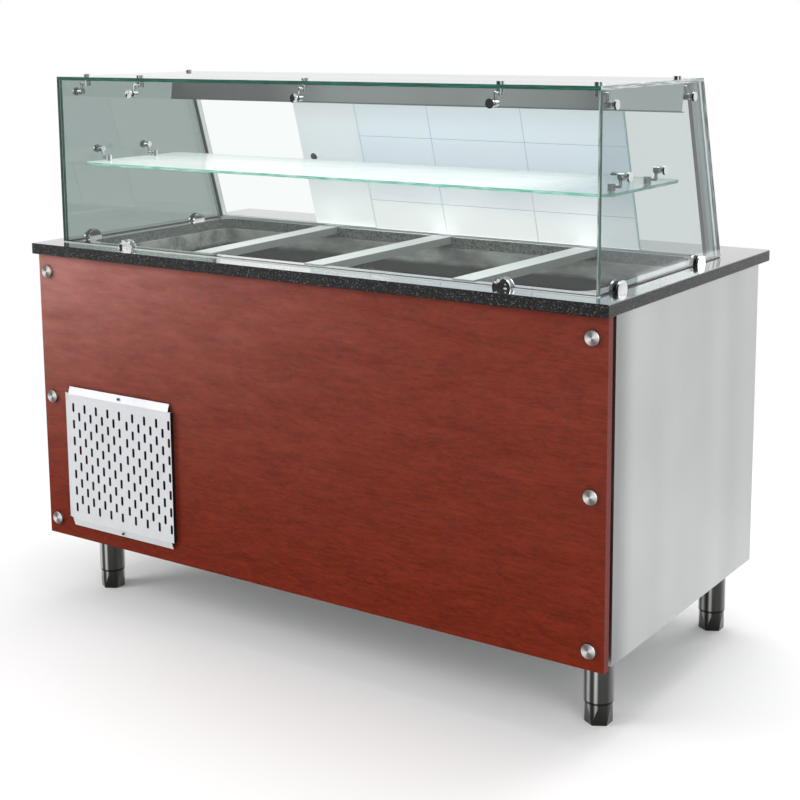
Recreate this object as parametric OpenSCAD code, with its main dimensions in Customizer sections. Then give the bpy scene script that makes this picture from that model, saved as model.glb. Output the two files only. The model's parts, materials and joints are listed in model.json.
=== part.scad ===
// Refrigerated salad bar: a stone worktop with a cold well on a cabinet with four
// screw feet, under a clamped glass canopy with sliding doors at the rear.
// Millimetres, +Z up, floor at z = 0, customer side towards -Y, origin under the centre.

/* [Worktop] */
// Length of the stone slab
top_length = 1500; // [1400:10:1800]
// Depth of the stone slab, front to rear
top_depth = 790; // [760:5:860]
// Thickness of the stone slab
top_thickness = 25; // [18:1:40]
// Width of the slab's arris along its edges
slab_arris = 1.5; // [0.5:0.5:3]
// Height of the slab's polished face above the floor
worktop_height = 868; // [840:1:920]

/* [Cold well] */
// Distance from the slab's ends to the cut-out for the pans
opening_end = 90; // [80:1:130]
// Distance from the slab's rear edge to the cut-out
opening_rear = 198; // [196:1:232]
// Distance from the slab's front edge to the cut-out
opening_front = 98; // [88:1:98]
// Corner radius of the cut-out
opening_corner = 40; // [10:1:60]
// Depth of the well below the slab's face
well_depth = 215; // [160:5:230]
// Width of the well's rim that shows inside the cut-out
ledge_width = 10; // [6:1:14]
// Width of the well's rim under the slab
rim_width = 16; // [10:1:20]
// Sheet thickness of the well
tank_wall = 1.2; // [0.8:0.1:2]
// Foam thickness below the well
foam_floor = 28; // [15:1:32]
// Foam thickness behind the well
foam_rear = 40; // [20:1:60]
// Diameter of the cooling tube
coil_tube = 10; // [8:1:12]
// Distance between runs of the cooling tube
coil_pitch = 38; // [36:1:60]
// Radius of the well's upright corners
tank_corner = 12; // [8:1:20]
// Distance from the cut-out's left end to the drain
drain_inset = 150; // [140:1:160]
// Diameter of the drain pipe
drain_pipe = 24; // [16:1:25]
// Diameter of the drain's flange in the well
drain_flange = 50; // [36:1:60]

/* [Divider bars] */
// Width of a divider bar
bar_width = 50; // [30:1:60]
// Sheet thickness of a divider bar
bar_sheet = 2; // [1:0.5:3]
// How far a bar's sides hang into the opening
bar_drop = 15; // [8:1:20]
// Gap between the ends of a divider bar and the cut-out
bar_end_gap = 2.5; // [2:0.5:4]
// Length of a bar's tongue on the slab's front rim
bar_tongue = 9; // [5:1:9]
// Position of the left bar along the well
bar_left_x = -308; // [-360:1:-280]
// Angle at which the left bar lies
bar_left_turn = 3; // [-3:0.1:3]
// Position of the middle bar along the well
bar_middle_x = 16; // [-20:1:40]
// Position of the right bar along the well
bar_right_x = 393; // [340:1:420]
// Angle at which the right bar lies
bar_right_turn = -1.3; // [-3:0.1:3]

/* [Cabinet] */
// Height of the cabinet's underside above the floor
cabinet_bottom = 162; // [140:1:190]
// Inset of the side panels from the slab's ends
cabinet_end_inset = 10; // [5:1:20]
// Inset of the side panels from the slab's rear edge
cabinet_rear_inset = 40; // [30:1:50]
// Thickness of the double-skinned panels
wall_thickness = 20; // [15:1:20]
// Sheet thickness of the double-skinned panels' skins
panel_skin = 1; // [0.8:0.1:1.5]
// Thickness of the cabinet's floor
base_thickness = 20; // [15:1:30]
// Side of the square frame tube
frame_tube = 25; // [20:1:30]
// Wall of the square frame tube
frame_wall = 1.5; // [1:0.5:3]
// Thickness of the sheet behind the front panel
inner_front_thickness = 1.5; // [1:0.5:3]
// Inside width of the machine bay
machine_width = 420; // [400:5:440]
// Height of the rear fascia
fascia_height = 236; // [225:1:245]
// Sheet thickness of the machine cover
cover_sheet = 1.5; // [1:0.5:2]
// Number of louvres in one column
louvre_rows = 11; // [5:1:12]
// Width of a louvre
louvre_w = 140; // [100:5:150]
// Height of a louvre's opening
louvre_h = 9; // [5:0.5:12]
// Depth of a louvre's hood behind the cover
louvre_depth = 9; // [5:0.5:14]
// Height of the cupboard's shelf above the cabinet's floor
cupboard_shelf_height = 205; // [120:5:260]
// Sheet thickness of the cupboard's shelf
cupboard_shelf_sheet = 1.2; // [1:0.1:2]
// Height of the turned-up edges of the cupboard's shelf
cupboard_shelf_lip = 22; // [15:1:28]

/* [Cupboard doors] */
// Thickness of a cupboard door
cupboard_door_thickness = 24; // [18:1:26]
// Thickness of the door gasket
cupboard_gasket = 4; // [3:0.5:5]
// Width of the door gasket
cupboard_gasket_width = 12; // [8:1:16]
// Gap between neighbouring doors and panels
door_gap = 3; // [2:0.5:4]
// Diameter of the hinge pins
hinge_pin = 8; // [6:1:8]
// Depth of a hinge pin in its door
hinge_pin_depth = 20; // [10:1:30]
// Thickness of the hinge plates
hinge_plate = 3; // [2:0.5:4]
// Width of the finger pocket in a door
grip_width = 22; // [18:1:30]
// Height of the finger pocket in a door
grip_height = 150; // [100:5:200]
// Depth of the finger pocket in a door
grip_depth = 15; // [10:1:15]

/* [Front panel] */
// Setback of the panel's face from the slab's front edge
panel_setback = 15.5; // [12:0.5:20]
// Inset of the panel from the slab's ends
panel_end_inset = 6.5; // [2:0.5:12]
// Thickness of the panel
panel_thickness = 18; // [12:1:19]
// Gap between the panel and the cabinet, held by the stand-offs
panel_gap = 20; // [15:1:30]
// Inset of the stand-offs from the panel's ends
standoff_inset = 30.5; // [28:0.5:33]
// Distance from the panel's top and bottom edges to the stand-offs
standoff_margin = 40; // [25:1:60]
// Diameter of a stand-off's cap
cap_diameter = 30; // [20:1:30]
// Height of a stand-off's cap
cap_height = 8; // [5:1:10]
// Diameter of a stand-off's barrel
barrel_diameter = 18; // [12:1:20]
// Diameter of a stand-off's bolt
standoff_bolt = 8; // [6:1:10]

/* [Ventilation grille] */
// Distance of the grille's middle from the slab's end
grille_end = 264; // [250:1:270]
// Height of the grille's middle above the cabinet's underside
grille_rise = 203; // [190:1:230]
// Width of the grille's flat face
grille_face_width = 314; // [300:1:320]
// Height of the grille's flat face
grille_face_height = 304; // [298:1:320]
// Width of the sloped edge at the grille's outer end
grille_slope = 30; // [20:1:32]
// Height of the grille's top and bottom edges
grille_lip = 17; // [10:1:20]
// Distance that the grille's face stands off the panel
grille_proud = 12; // [8:1:14]
// Sheet thickness of the grille
grille_sheet = 1.5; // [1:0.5:2]
// Number of columns of slots
slot_columns = 17; // [9:2:17]
// Number of slots in a long column
slot_rows = 7; // [4:1:7]
// Distance between the columns
slot_step_x = 18.6; // [16:0.1:19]
// Distance between the slots of a column
slot_step_z = 40.4; // [38:0.1:42]
// Extra distance at the middle of the pattern
slot_mid_gap = 4.4; // [0:0.1:8]
// Width of a slot
slot_width = 7; // [3:0.1:8]
// Length of a slot
slot_length = 22; // [12:1:28]
// Diameter of the heads of the grille's screws
screw_head = 6; // [5:0.5:8]

/* [Legs] */
// Distance of the leg centres from the slab's ends
leg_end = 80; // [75:5:150]
// Distance of the front legs from the slab's front edge
leg_front = 142; // [110:1:180]
// Distance of the rear legs from the slab's rear edge
leg_rear = 85; // [80:1:190]
// Outer diameter of a leg tube
leg_diameter = 60; // [50:1:70]
// Wall of a leg tube
leg_wall = 1.5; // [1:0.5:3]
// Height of a foot below the leg tube, screwed right in
foot_height = 46; // [35:1:60]
// Height of the six flats on a foot
flat_height = 36; // [20:1:44]
// Width across the flats at the floor
flat_width = 50; // [40:1:54]
// Length of a foot's guide inside the tube
foot_guide = 10; // [6:1:20]
// Diameter of a foot's screw
foot_screw = 16; // [10:1:20]
// Length of a foot's screw above its guide
foot_screw_length = 50; // [45:1:60]
// Side of the square plate on top of a leg
leg_plate = 90; // [80:1:100]
// Thickness of the plate on top of a leg
leg_plate_thickness = 3; // [2:0.5:5]

/* [Glass canopy] */
// Distance from the slab's ends to the side glasses
canopy_end = 49; // [30:1:70]
// Height of the canopy above the slab
canopy_height = 386; // [340:2:420]
// Distance from the slab's front edge to the front glass
canopy_front = 56; // [50:1:58]
// Depth of the canopy at the top
canopy_top_depth = 460; // [440:2:480]
// Distance from the slab's rear edge to the canopy's foot
canopy_rear = 160; // [144:2:174]
// Thickness of the canopy's glass
glass_thickness = 8; // [6:1:8]
// Thickness of the gaskets under the glass
glass_gasket = 2; // [1:0.5:3]
// Gap between the front glass and a side glass
glass_gap = 0.3; // [0.2:0.1:0.5]
// Height of the shelf's underside above the slab
shelf_height = 178; // [150:1:185]
// Thickness of the shelf
shelf_thickness = 6; // [5:1:8]
// Depth of the shelf
shelf_depth = 330; // [300:5:350]
// Distance from the slab's front edge to the shelf
shelf_front = 115; // [100:1:125]
// Gap between the shelf and the side glasses
shelf_end_gap = 3; // [2:0.5:5]
// Corner radius of the shelf
shelf_corner = 25; // [10:1:40]

/* [Clamps and connectors] */
// Radius of a half-round glass clamp
clamp_radius = 20; // [15:1:22]
// Thickness of one cheek of a clamp
clamp_cheek = 4.5; // [3:0.5:5]
// Thickness of the pads between clamp and glass
clamp_pad = 1; // [0.5:0.5:1.5]
// Distance of the front clamps from the slab's ends
clamp_front_end = 253; // [230:1:330]
// Distance of the first side clamps from the slab's front edge
clamp_side_front = 146; // [110:1:250]
// Distance of the second side clamps from the slab's rear edge
clamp_side_rear = 275; // [250:1:390]
// Distance of the outer front connectors from the slab's ends
connector_front_end = 280; // [230:1:330]
// Distance of the first top connectors from the slab's front edge
connector_top_front = 117; // [110:1:160]
// Distance of the second top connectors from the top glass's rear edge
connector_top_rear = 49; // [46:1:61]
// Distance of the first shelf connectors from the slab's front edge
connector_shelf_front = 176; // [150:1:220]
// Distance of the second shelf connectors from the slab's front edge
connector_shelf_rear = 333; // [280:1:400]
// Height of the glass disc centres below or above the glass that they carry
connector_drop = 28; // [24:1:34]
// Reach of a connector from the glass to its knob
connector_reach = 28; // [24:1:36]
// Diameter of a connector's disc
disc_diameter = 19; // [14:1:22]
// Diameter of a connector's knob
knob_diameter = 16; // [12:1:18]
// Diameter of a connector's rod
rod_diameter = 7; // [5:1:9]
// Diameter of the connector bolts
connector_bolt = 6; // [4:1:8]

/* [Canopy rear] */
// Gap between the header and the track of the sliding doors
header_gap = 0.85; // [0.5:0.05:1.5]
// Depth of the header's lamp bay
header_depth = 56; // [45:1:58]
// Height of the header's front apron
header_height = 59; // [45:1:64]
// Distance that the apron leans back at the top
header_lean = 9; // [4:1:14]
// Sheet thickness of the header
header_sheet = 1.5; // [1:0.5:2]
// Diameter of the lamp
lamp_diameter = 16; // [12:1:20]
// Distance from the slab's ends to the lamp
lamp_end = 150; // [130:5:200]
// Length of the lamp's end caps
lamp_cap = 16; // [12:1:20]
// Overlap of the two sliding doors when both are shut
slider_overlap = 48; // [20:2:80]
// Thickness of a sliding door
slider_thickness = 5; // [4:0.5:6]
// Gap between the two sliding doors
slider_gap = 7.5; // [7:0.5:9]
// Height of a knob's flat disc between the doors
slider_disc = 3; // [2:0.1:3.2]
// Running gap beside a sliding door in its groove
slider_play = 0.5; // [0.4:0.1:0.8]
// Width left open beside the outer sliding door as it stands
slider_outer_open = 308; // [284:1:334]
// Width left open beside the inner sliding door as it stands
slider_inner_open = 158; // [140:1:180]
// Height of the sliding doors' sill
sill_height = 6; // [5:0.5:8]
// Thickness of the sill below its grooves
sill_floor = 2; // [1:0.5:3]
// Thickness of the outer fins of sill and track
track_fin = 2.5; // [2:0.5:3]
// Height of the upper track
track_height = 26; // [20:1:30]
// Distance of a sliding door's knob from its edge
slider_knob_inset = 35; // [25:1:60]
// Diameter of a sliding door's knob
slider_knob = 18; // [14:1:24]

/* [Controls] */
// Distance of the thermostat from the slab's end
thermostat_end = 230; // [190:5:270]
// Height of the thermostat above the fascia's lower edge
thermostat_rise = 130; // [90:5:150]
// Width of the thermostat's bezel
bezel_width = 78; // [70:1:90]
// Height of the thermostat's bezel
bezel_height = 36; // [30:1:45]
// Diameter of a thermostat key
key_diameter = 7; // [5:0.5:8]
// Distance between the thermostat's keys
key_step = 12; // [10:1:13]
// Width of the power switch
switch_width = 22; // [18:1:26]
// Height of the power switch
switch_height = 30; // [26:1:34]

/* [Cooling machine] */
// Diameter of the compressor's shell
compressor_diameter = 170; // [150:5:190]
// Height of the compressor's shell
compressor_height = 190; // [160:5:210]
// Side of the condenser
condenser_size = 290; // [270:5:300]
// Depth of the condenser
condenser_depth = 44; // [35:1:50]
// Number of condenser fins
fin_count = 25; // [15:1:30]
// Diameter of the fan
fan_diameter = 200; // [170:5:220]
// Number of fan blades
blade_count = 5; // [3:1:7]
// Diameter of the fan's motor
motor_diameter = 72; // [60:2:80]
// Outer diameter of the copper lines
line_diameter = 10; // [8:1:12]
// Length of the filter drier in the liquid line
drier_length = 90; // [70:5:110]

/* [Hidden] */
$fn = 48;

touch = 0.3;             // clearance between pieces that move past each other
weld = 0.2;              // gap at the welded joints of the frame
cut = 1;                 // overrun of a cutting solid

front_y = -top_depth / 2;
rear_y = top_depth / 2;
end_x = top_length / 2;
top_z = worktop_height;
slab_z = top_z - top_thickness;

// cold well
open_y0 = front_y + opening_front;
opening_depth = top_depth - opening_front - opening_rear;
open_y1 = open_y0 + opening_depth;
open_x = end_x - opening_end;
floor_z = top_z - well_depth;
coil_z = floor_z - tank_wall - coil_tube / 2;
foam_z = floor_z - tank_wall - coil_tube - foam_floor;
foam_y1 = open_y1 - ledge_width + tank_wall + foam_rear;
drain_x = -open_x + drain_inset;
drain_y = (open_y0 + open_y1) / 2;

// cabinet
cab_x = end_x - cabinet_end_inset;
in_x = cab_x - wall_thickness;
cab_y0 = front_y + panel_setback + panel_thickness + panel_gap;
cab_y1 = rear_y - cabinet_rear_inset;
cab_z = cabinet_bottom;
base_z = cab_z + base_thickness;
inner_y = cab_y0 + inner_front_thickness;
fascia_z = slab_z - fascia_height;
wall_x0 = -in_x + machine_width;
wall_x1 = wall_x0 + wall_thickness;
bay_x = (wall_x0 - in_x) / 2;

// cupboard doors
door_y1 = cab_y1 - 2;
door_y0 = door_y1 - cupboard_door_thickness;
frame_y1 = door_y0 - cupboard_gasket - touch;
door_z0 = base_z + hinge_plate + touch;
door_z1 = fascia_z - hinge_plate - touch;
door_x0 = wall_x0 + door_gap;
door_x1 = in_x - door_gap;
door_mid = (door_x0 + door_x1) / 2;
pivot_inset = hinge_pin / 2 + 2;

// front panel
panel_y = front_y + panel_setback;
panel_x = end_x - panel_end_inset;
panel_z1 = slab_z - 1;

// grille, measured on its own middle
grille_x = end_x - grille_end;
grille_z = cab_z + grille_rise;
grille_y = panel_y - grille_proud;
vent_margin = 14;        // the air hole is this much smaller than the grille's face

// canopy
can_x = end_x - canopy_end;
can_in = can_x - glass_thickness;
can_y = front_y + canopy_front;
can_z = top_z + canopy_height;
under_z = can_z - glass_thickness;
canopy_bottom_depth = top_depth - canopy_front - canopy_rear;
lean_run = canopy_bottom_depth - canopy_top_depth;
lean = atan(lean_run / canopy_height);
shelf_z = top_z + shelf_height;

// sliding doors: v is measured across them and w up along their slope
slider_pitch = slider_thickness + slider_gap;
track_half = slider_pitch / 2 + slider_thickness / 2 + slider_play + track_fin;
sill_y = can_y + canopy_bottom_depth - track_half / cos(lean) - 9;
slider_x = can_in - 9;
slider_width = slider_x + slider_overlap / 2;
slider_outer_x = -slider_x + slider_outer_open;
slider_inner_x = slider_x - slider_inner_open - slider_width;
sill_seat = sill_floor + touch;
slider_rise = canopy_height - glass_thickness - 12;

// ---------------------------------------------------------------- helpers

// Box between two values on each axis.
module span(x, y, z) {
  translate([x[0], y[0], z[0]]) cube([x[1] - x[0], y[1] - y[0], z[1] - z[0]]);
}

// Box with thin walls all round, as of a double-skinned panel or a capped tube.
module shell(x, y, z, wall) {
  difference() {
    span(x, y, z);
    span([x[0] + wall, x[1] - wall], [y[0] + wall, y[1] - wall], [z[0] + wall, z[1] - wall]);
  }
}

// Flat rectangle with round corners between two values on each axis.
module round_rect(x, y, r) {
  translate([x[0] + r, y[0]]) square([x[1] - x[0] - 2 * r, y[1] - y[0]]);
  translate([x[0], y[0] + r]) square([x[1] - x[0], y[1] - y[0] - 2 * r]);
  for (px = [x[0] + r, x[1] - r], py = [y[0] + r, y[1] - r]) translate([px, py]) circle(r);
}

// Section drawn in Y and Z, run along X between two values.
module along_x(x) {
  translate([x[0], 0, 0]) rotate([90, 0, 90]) linear_extrude(x[1] - x[0]) children();
}

// Cylinders along X, Y and Z, from a start point.
module rod_x(at, d, l) { translate(at) rotate([0, 90, 0]) cylinder(d = d, h = l); }
module rod_y(at, d, l) { translate(at) rotate([-90, 0, 0]) cylinder(d = d, h = l); }
module rod_z(at, d, l) { translate(at) cylinder(d = d, h = l); }

// Copies at -x and +x.
module both_ends(x) { for (s = [-1, 1]) translate([s * x, 0, 0]) children(); }

// The children as they are for s = 1, and mirrored to the other end for s = -1.
module scale_x(s) { mirror([s < 0 ? 1 : 0, 0, 0]) children(); }

// Pipe through a list of points, with round elbows.
module pipe(points, d) {
  for (i = [0 : len(points) - 2]) {
    run = points[i + 1] - points[i];
    flat = norm([run[0], run[1]]);
    translate(points[i]) rotate([0, atan2(flat, run[2]), atan2(run[1], run[0])])
      cylinder(d = d, h = norm(run));
    if (i > 0) translate(points[i]) sphere(d = d);
  }
}

// ---------------------------------------------------------------- worktop and well

// Outline of the cut-out, grown outwards.
module well_outline(grow) {
  round_rect([-open_x - grow, open_x + grow], [open_y0 - grow, open_y1 + grow],
             opening_corner + grow);
}

module granite_worktop() {
  a = slab_arris;
  color("#2a2a2c") difference() {
    translate([0, 0, slab_z]) linear_extrude(top_thickness) difference() {
      polygon([[-end_x + a, front_y], [end_x - a, front_y], [end_x, front_y + a],
               [end_x, rear_y - a], [end_x - a, rear_y], [-end_x + a, rear_y],
               [-end_x, rear_y - a], [-end_x, front_y + a]]);
      well_outline(0);
    }
    for (z = [slab_z, top_z], y = [front_y, rear_y]) translate([0, y, z]) rotate([45, 0, 0])
      cube([2 * top_length, a * sqrt(2), a * sqrt(2)], center = true);
    for (z = [slab_z, top_z], x = [-end_x, end_x]) translate([x, 0, z]) rotate([0, 45, 0])
      cube([a * sqrt(2), 2 * top_depth, a * sqrt(2)], center = true);
  }
}

tank_x = open_x - ledge_width;
tank_y = [open_y0 + ledge_width, open_y1 - ledge_width];
tank_z = [floor_z - tank_wall, slab_z];
rim_reach = ledge_width + rim_width;

// The well's solid between two heights; grow 0 is its inside.
module well_body(grow, z) {
  translate([0, 0, z[0]]) linear_extrude(z[1] - z[0])
    round_rect([-tank_x - grow, tank_x + grow], [tank_y[0] - grow, tank_y[1] + grow],
               tank_corner + grow);
}

// Wall of the well with its rim folded outwards, on a line towards +X at the height 0.
module well_wall(length) {
  high = tank_z[1] - tank_z[0];
  span([0, length], [-tank_wall, 0], [0, high]);
  span([0, length], [-rim_reach, 0], [high - tank_wall, high]);
}

// Rounded corner post of the well with its corner of the rim, towards +X and -Y.
module well_corner() {
  r = tank_corner;
  high = tank_z[1] - tank_z[0];
  difference() {
    union() {
      intersection() {
        rod_z([0, 0, 0], 2 * (r + tank_wall), high);
        span([0, 2 * r], [-2 * r, 0], [0, high]);
      }
      span([0, r + rim_reach], [-r - rim_reach, 0], [high - tank_wall, high]);
    }
    rod_z([0, 0, -cut], 2 * r, high + 2 * cut);
  }
}

// Well welded from its floor, four folded walls and four corner posts.
module well_tank() {
  r = tank_corner;
  size = [2 * (tank_x - r - weld), tank_y[1] - tank_y[0] - 2 * (r + weld)];
  turns = [[0, -size[0] / 2, tank_y[0], size[0]], [180, size[0] / 2, tank_y[1], size[0]],
           [90, tank_x, drain_y - size[1] / 2, size[1]],
           [-90, -tank_x, drain_y + size[1] / 2, size[1]]];
  color("#b9bcbc") {
    difference() {
      well_body(-weld, [tank_z[0], floor_z]);
      rod_z([drain_x, drain_y, tank_z[0] - cut], drain_bore, tank_wall + 2 * cut);
    }
    for (t = turns) translate([t[1], t[2], tank_z[0]]) rotate([0, 0, t[0]]) well_wall(t[3]);
    for (c = [[0, tank_x - r, tank_y[0] + r], [90, tank_x - r, tank_y[1] - r],
              [180, r - tank_x, tank_y[1] - r], [-90, r - tank_x, tank_y[0] + r]])
      translate([c[1], c[2], tank_z[0]]) rotate([0, 0, c[0]]) well_corner();
  }
}

module well_insulation() {
  inner = [floor_z - tank_wall - coil_tube, slab_z];
  color("#e6d9a8") difference() {
    span([-foam_x, foam_x], [inner_y, foam_y1], [foam_z, slab_z - tank_wall]);
    well_body(tank_wall, inner);
    rod_z([drain_x, drain_y, foam_z - cut], drain_bore, foam_floor + 2 * cut);
    for (y = coil_end_y)
      rod_z([line_up_x, y, foam_z - cut], line_diameter + 2 * touch, foam_floor + 2 * cut);
  }
}

coil_runs = 2 * floor((opening_depth - 2 * ledge_width - 60) / coil_pitch / 2);
coil_half = open_x - ledge_width - coil_pitch - 30;
coil_y0 = (open_y0 + open_y1) / 2 - (coil_runs - 1) * coil_pitch / 2;
coil_end_y = [coil_y0, coil_y0 + (coil_runs - 1) * coil_pitch];
line_up_x = -coil_half - 1.5 * line_diameter;
drain_bore = drain_pipe + 2 * weld;

module cooling_coil() {
  color("#b8693a") {
    for (i = [0 : coil_runs - 1])
      rod_x([-coil_half, coil_y0 + i * coil_pitch, coil_z], coil_tube, 2 * coil_half);
    for (i = [0 : coil_runs - 2]) {
      side = i % 2 == 0 ? 1 : -1;
      translate([side * coil_half, coil_y0 + (i + 0.5) * coil_pitch, coil_z])
        rotate([0, 0, side > 0 ? -90 : 90]) rotate_extrude(angle = 180)
          translate([coil_pitch / 2, 0]) circle(d = coil_tube);
    }
  }
}

module well_drain() {
  tail = 55;
  plug = 18;
  color("#8f9496") difference() {
    union() {
      rod_z([drain_x, drain_y, foam_z - tail], drain_pipe, floor_z - foam_z + tail);
      rod_z([drain_x, drain_y, floor_z], drain_flange, 2);
      rod_z([drain_x, drain_y, foam_z - tail], drain_pipe + 8, plug);
    }
    rod_z([drain_x, drain_y, foam_z - tail + plug], drain_pipe - 5, well_depth + tail);
  }
}

// A loose folded bar between pans: its sides stand on the well's rim at both ends, and
// a tongue of its top sheet lies on the slab at the front.
module divider_bar(x, turn) {
  half = opening_depth / 2 - bar_end_gap;
  w = bar_width / 2;
  mid = (open_y0 + open_y1) / 2;
  color("#d9dad8") translate([x, mid, top_z]) rotate([0, 0, turn]) difference() {
    union() {
      span([-w, w], [-half, half], [-bar_drop, bar_sheet]);
      span([-w, w], [-opening_depth / 2 - bar_tongue, 0], [0, bar_sheet]);
    }
    span([-w + bar_sheet, w - bar_sheet], [-half - cut, half + cut], [-bar_drop - cut, 0]);
  }
}

module divider_bar_left() divider_bar(bar_left_x, bar_left_turn);
module divider_bar_middle() divider_bar(bar_middle_x, 0);
module divider_bar_right() divider_bar(bar_right_x, bar_right_turn);

// ---------------------------------------------------------------- front panel

standoff_x = panel_x - standoff_inset;
standoff_z = [panel_z1 - standoff_margin, (panel_z1 + cab_z) / 2, cab_z + standoff_margin];

module vent_cut(y) {
  span([-grille_x - grille_face_width / 2 + vent_margin,
        -grille_x + grille_face_width / 2 - vent_margin - 10], y,
       [grille_z - grille_face_height / 2 + vent_margin,
        grille_z + grille_face_height / 2 - vent_margin]);
}

module front_panel() {
  color("#8f3524") difference() {
    span([-panel_x, panel_x], [panel_y, panel_y + panel_thickness], [cab_z, panel_z1]);
    vent_cut([panel_y - cut, panel_y + panel_thickness + cut]);
    for (z = standoff_z) both_ends(standoff_x)
      rod_y([0, panel_y - cut, z], standoff_bolt + 1, panel_thickness + 2 * cut);
    for (m = [-1, 1]) rod_y([screw_x, panel_y - cut, grille_z + m * screw_lift],
                            screw_shank + 2 * weld, panel_thickness + 2 * cut);
  }
}

module panel_standoffs() {
  chamfer = 1;
  color("#b4b4b2") for (z = standoff_z) both_ends(standoff_x) {
    rod_y([0, panel_y - cap_height + chamfer, z], cap_diameter, cap_height - chamfer);
    translate([0, panel_y - cap_height, z]) rotate([-90, 0, 0])
      cylinder(d1 = cap_diameter - 2 * chamfer, d2 = cap_diameter, h = chamfer);
    rod_y([0, panel_y, z], standoff_bolt, panel_thickness);
    rod_y([0, panel_y + panel_thickness, z], barrel_diameter, panel_gap);
  }
}

// ---------------------------------------------------------------- grille

// One slot with round ends, upright.
module slot() {
  square([slot_width, slot_length - slot_width], center = true);
  for (s = [-1, 1]) translate([0, s * (slot_length - slot_width) / 2])
    circle(d = slot_width, $fn = 24);
}

// The staggered pattern, in X and Z about the middle of the face.
module slot_pattern() {
  half = (slot_columns - 1) / 2;
  for (i = [0 : slot_columns - 1]) {
    short = i % 2;
    x = (i - half) * slot_step_x + (i > half ? slot_mid_gap / 2 : -slot_mid_gap / 2);
    for (j = [0 : slot_rows - 1 - short])
      translate([x, ((slot_rows - 1 - short) / 2 - j) * slot_step_z]) slot();
  }
}

screw_lift = grille_face_height / 2 + grille_lip / 2;
screw_x = -grille_x - 4;
screw_shank = 4;

module vent_grille() {
  w = grille_face_width;
  h = grille_face_height;
  s = grille_sheet;
  back = grille_proud - 3;
  lip_back = grille_proud / 2;
  color("#dedfe0") translate([-grille_x, grille_y, grille_z]) difference() {
    union() {
      // face with its sloped outer edge and its square inner edge
      translate([0, 0, -h / 2]) linear_extrude(h) polygon([
        [-w / 2, 0], [w / 2, 0], [w / 2, back], [w / 2 - s, back], [w / 2 - s, s],
        [-w / 2, s], [-w / 2 - grille_slope, grille_proud],
        [-w / 2 - grille_slope, grille_proud - s]]);
      // top and bottom edges, bent back
      for (m = [0, 1]) mirror([0, 0, m]) along_x([-w / 2 - 10, w / 2 - 8]) polygon([
        [0, h / 2 - 1], [lip_back, h / 2 + grille_lip],
        [lip_back + s, h / 2 + grille_lip], [s, h / 2 - 1]]);
    }
    translate([0, s + cut, 0]) rotate([90, 0, 0]) linear_extrude(s + 2 * cut) slot_pattern();
    for (m = [-1, 1]) rod_y([screw_x + grille_x, -cut, m * screw_lift], screw_shank + 2 * weld,
                            grille_proud + 2 * cut);
  }
}

module grille_screws() {
  mid_y = grille_y + grille_proud / 4;      // front of the sloped edge at the screw
  color("#8b8d8f") for (m = [-1, 1]) translate([screw_x, 0, grille_z + m * screw_lift]) {
    rod_y([0, mid_y - 4, 0], screw_head, 2.6);
    rod_y([0, mid_y - 2, 0], screw_shank, panel_y + panel_thickness - mid_y + 2);
    rod_y([0, mid_y + grille_sheet + 1.3, 0], 6, panel_y - mid_y - grille_sheet - 1.3);
  }
}

// ---------------------------------------------------------------- cabinet

module side_panel(s) {
  color("#d3d4d3") scale_x(s)
    shell([in_x, cab_x], [cab_y0, cab_y1], [cab_z, slab_z], panel_skin);
}
module side_panel_left() side_panel(-1);
module side_panel_right() side_panel(1);

post_x = in_x - frame_tube;
foam_x = post_x - weld;
rail_z = fascia_z - frame_tube;

module tube(x, y, z) { shell(x, y, z, frame_wall); }

module cabinet_frame() {
  t = frame_tube;
  rear = [frame_y1 - t, frame_y1];
  bay = [wall_x1 + weld, post_x - weld];
  color("#a5a8a8") {
    for (s = [-1, 1]) scale_x(s) {
      for (y = [[cab_y0, cab_y0 + t], rear]) tube([post_x, in_x], y, [base_z, slab_z]);
      tube([post_x, in_x], [cab_y0 + t + weld, frame_y1 - t - weld], [slab_z - t, slab_z]);
    }
    tube(bay, rear, [rail_z, fascia_z]);
    tube(bay, rear, [base_z, base_z + t]);
    tube([door_mid - t / 2, door_mid + t / 2], rear, [base_z + t + weld, rail_z - weld]);
  }
}

module base_panel() {
  color("#b5b8b8") shell([-in_x, in_x], [cab_y0, cab_y1], [cab_z, base_z], panel_skin);
}

module inner_front() {
  color("#b9bbba") difference() {
    span([-post_x, post_x], [cab_y0, inner_y], [base_z, slab_z]);
    vent_cut([cab_y0 - cut, inner_y + cut]);
  }
}

module bay_wall() {
  color("#c2c4c3") shell([wall_x0, wall_x1], [inner_y, frame_y1], [base_z, foam_z], panel_skin);
}

module rear_fascia() {
  color("#cfd1d0") difference() {
    shell([-in_x, in_x], [frame_y1, cab_y1], [fascia_z, slab_z], panel_skin);
    thermostat_cut();
    switch_cut();
  }
}

// ---------------------------------------------------------------- machine cover

cover_x = [-in_x + 1, wall_x0];
cover_z = [base_z + 1, fascia_z - 1];
louvre_step = (cover_z[1] - cover_z[0] - 80) / (louvre_rows - 1);

module louvre_places() {
  for (c = [-1, 1], i = [0 : louvre_rows - 1])
    translate([(cover_x[0] + cover_x[1]) / 2 + c * (louvre_w / 2 + 18), 0,
               cover_z[0] + 40 + i * louvre_step]) children();
}

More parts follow.
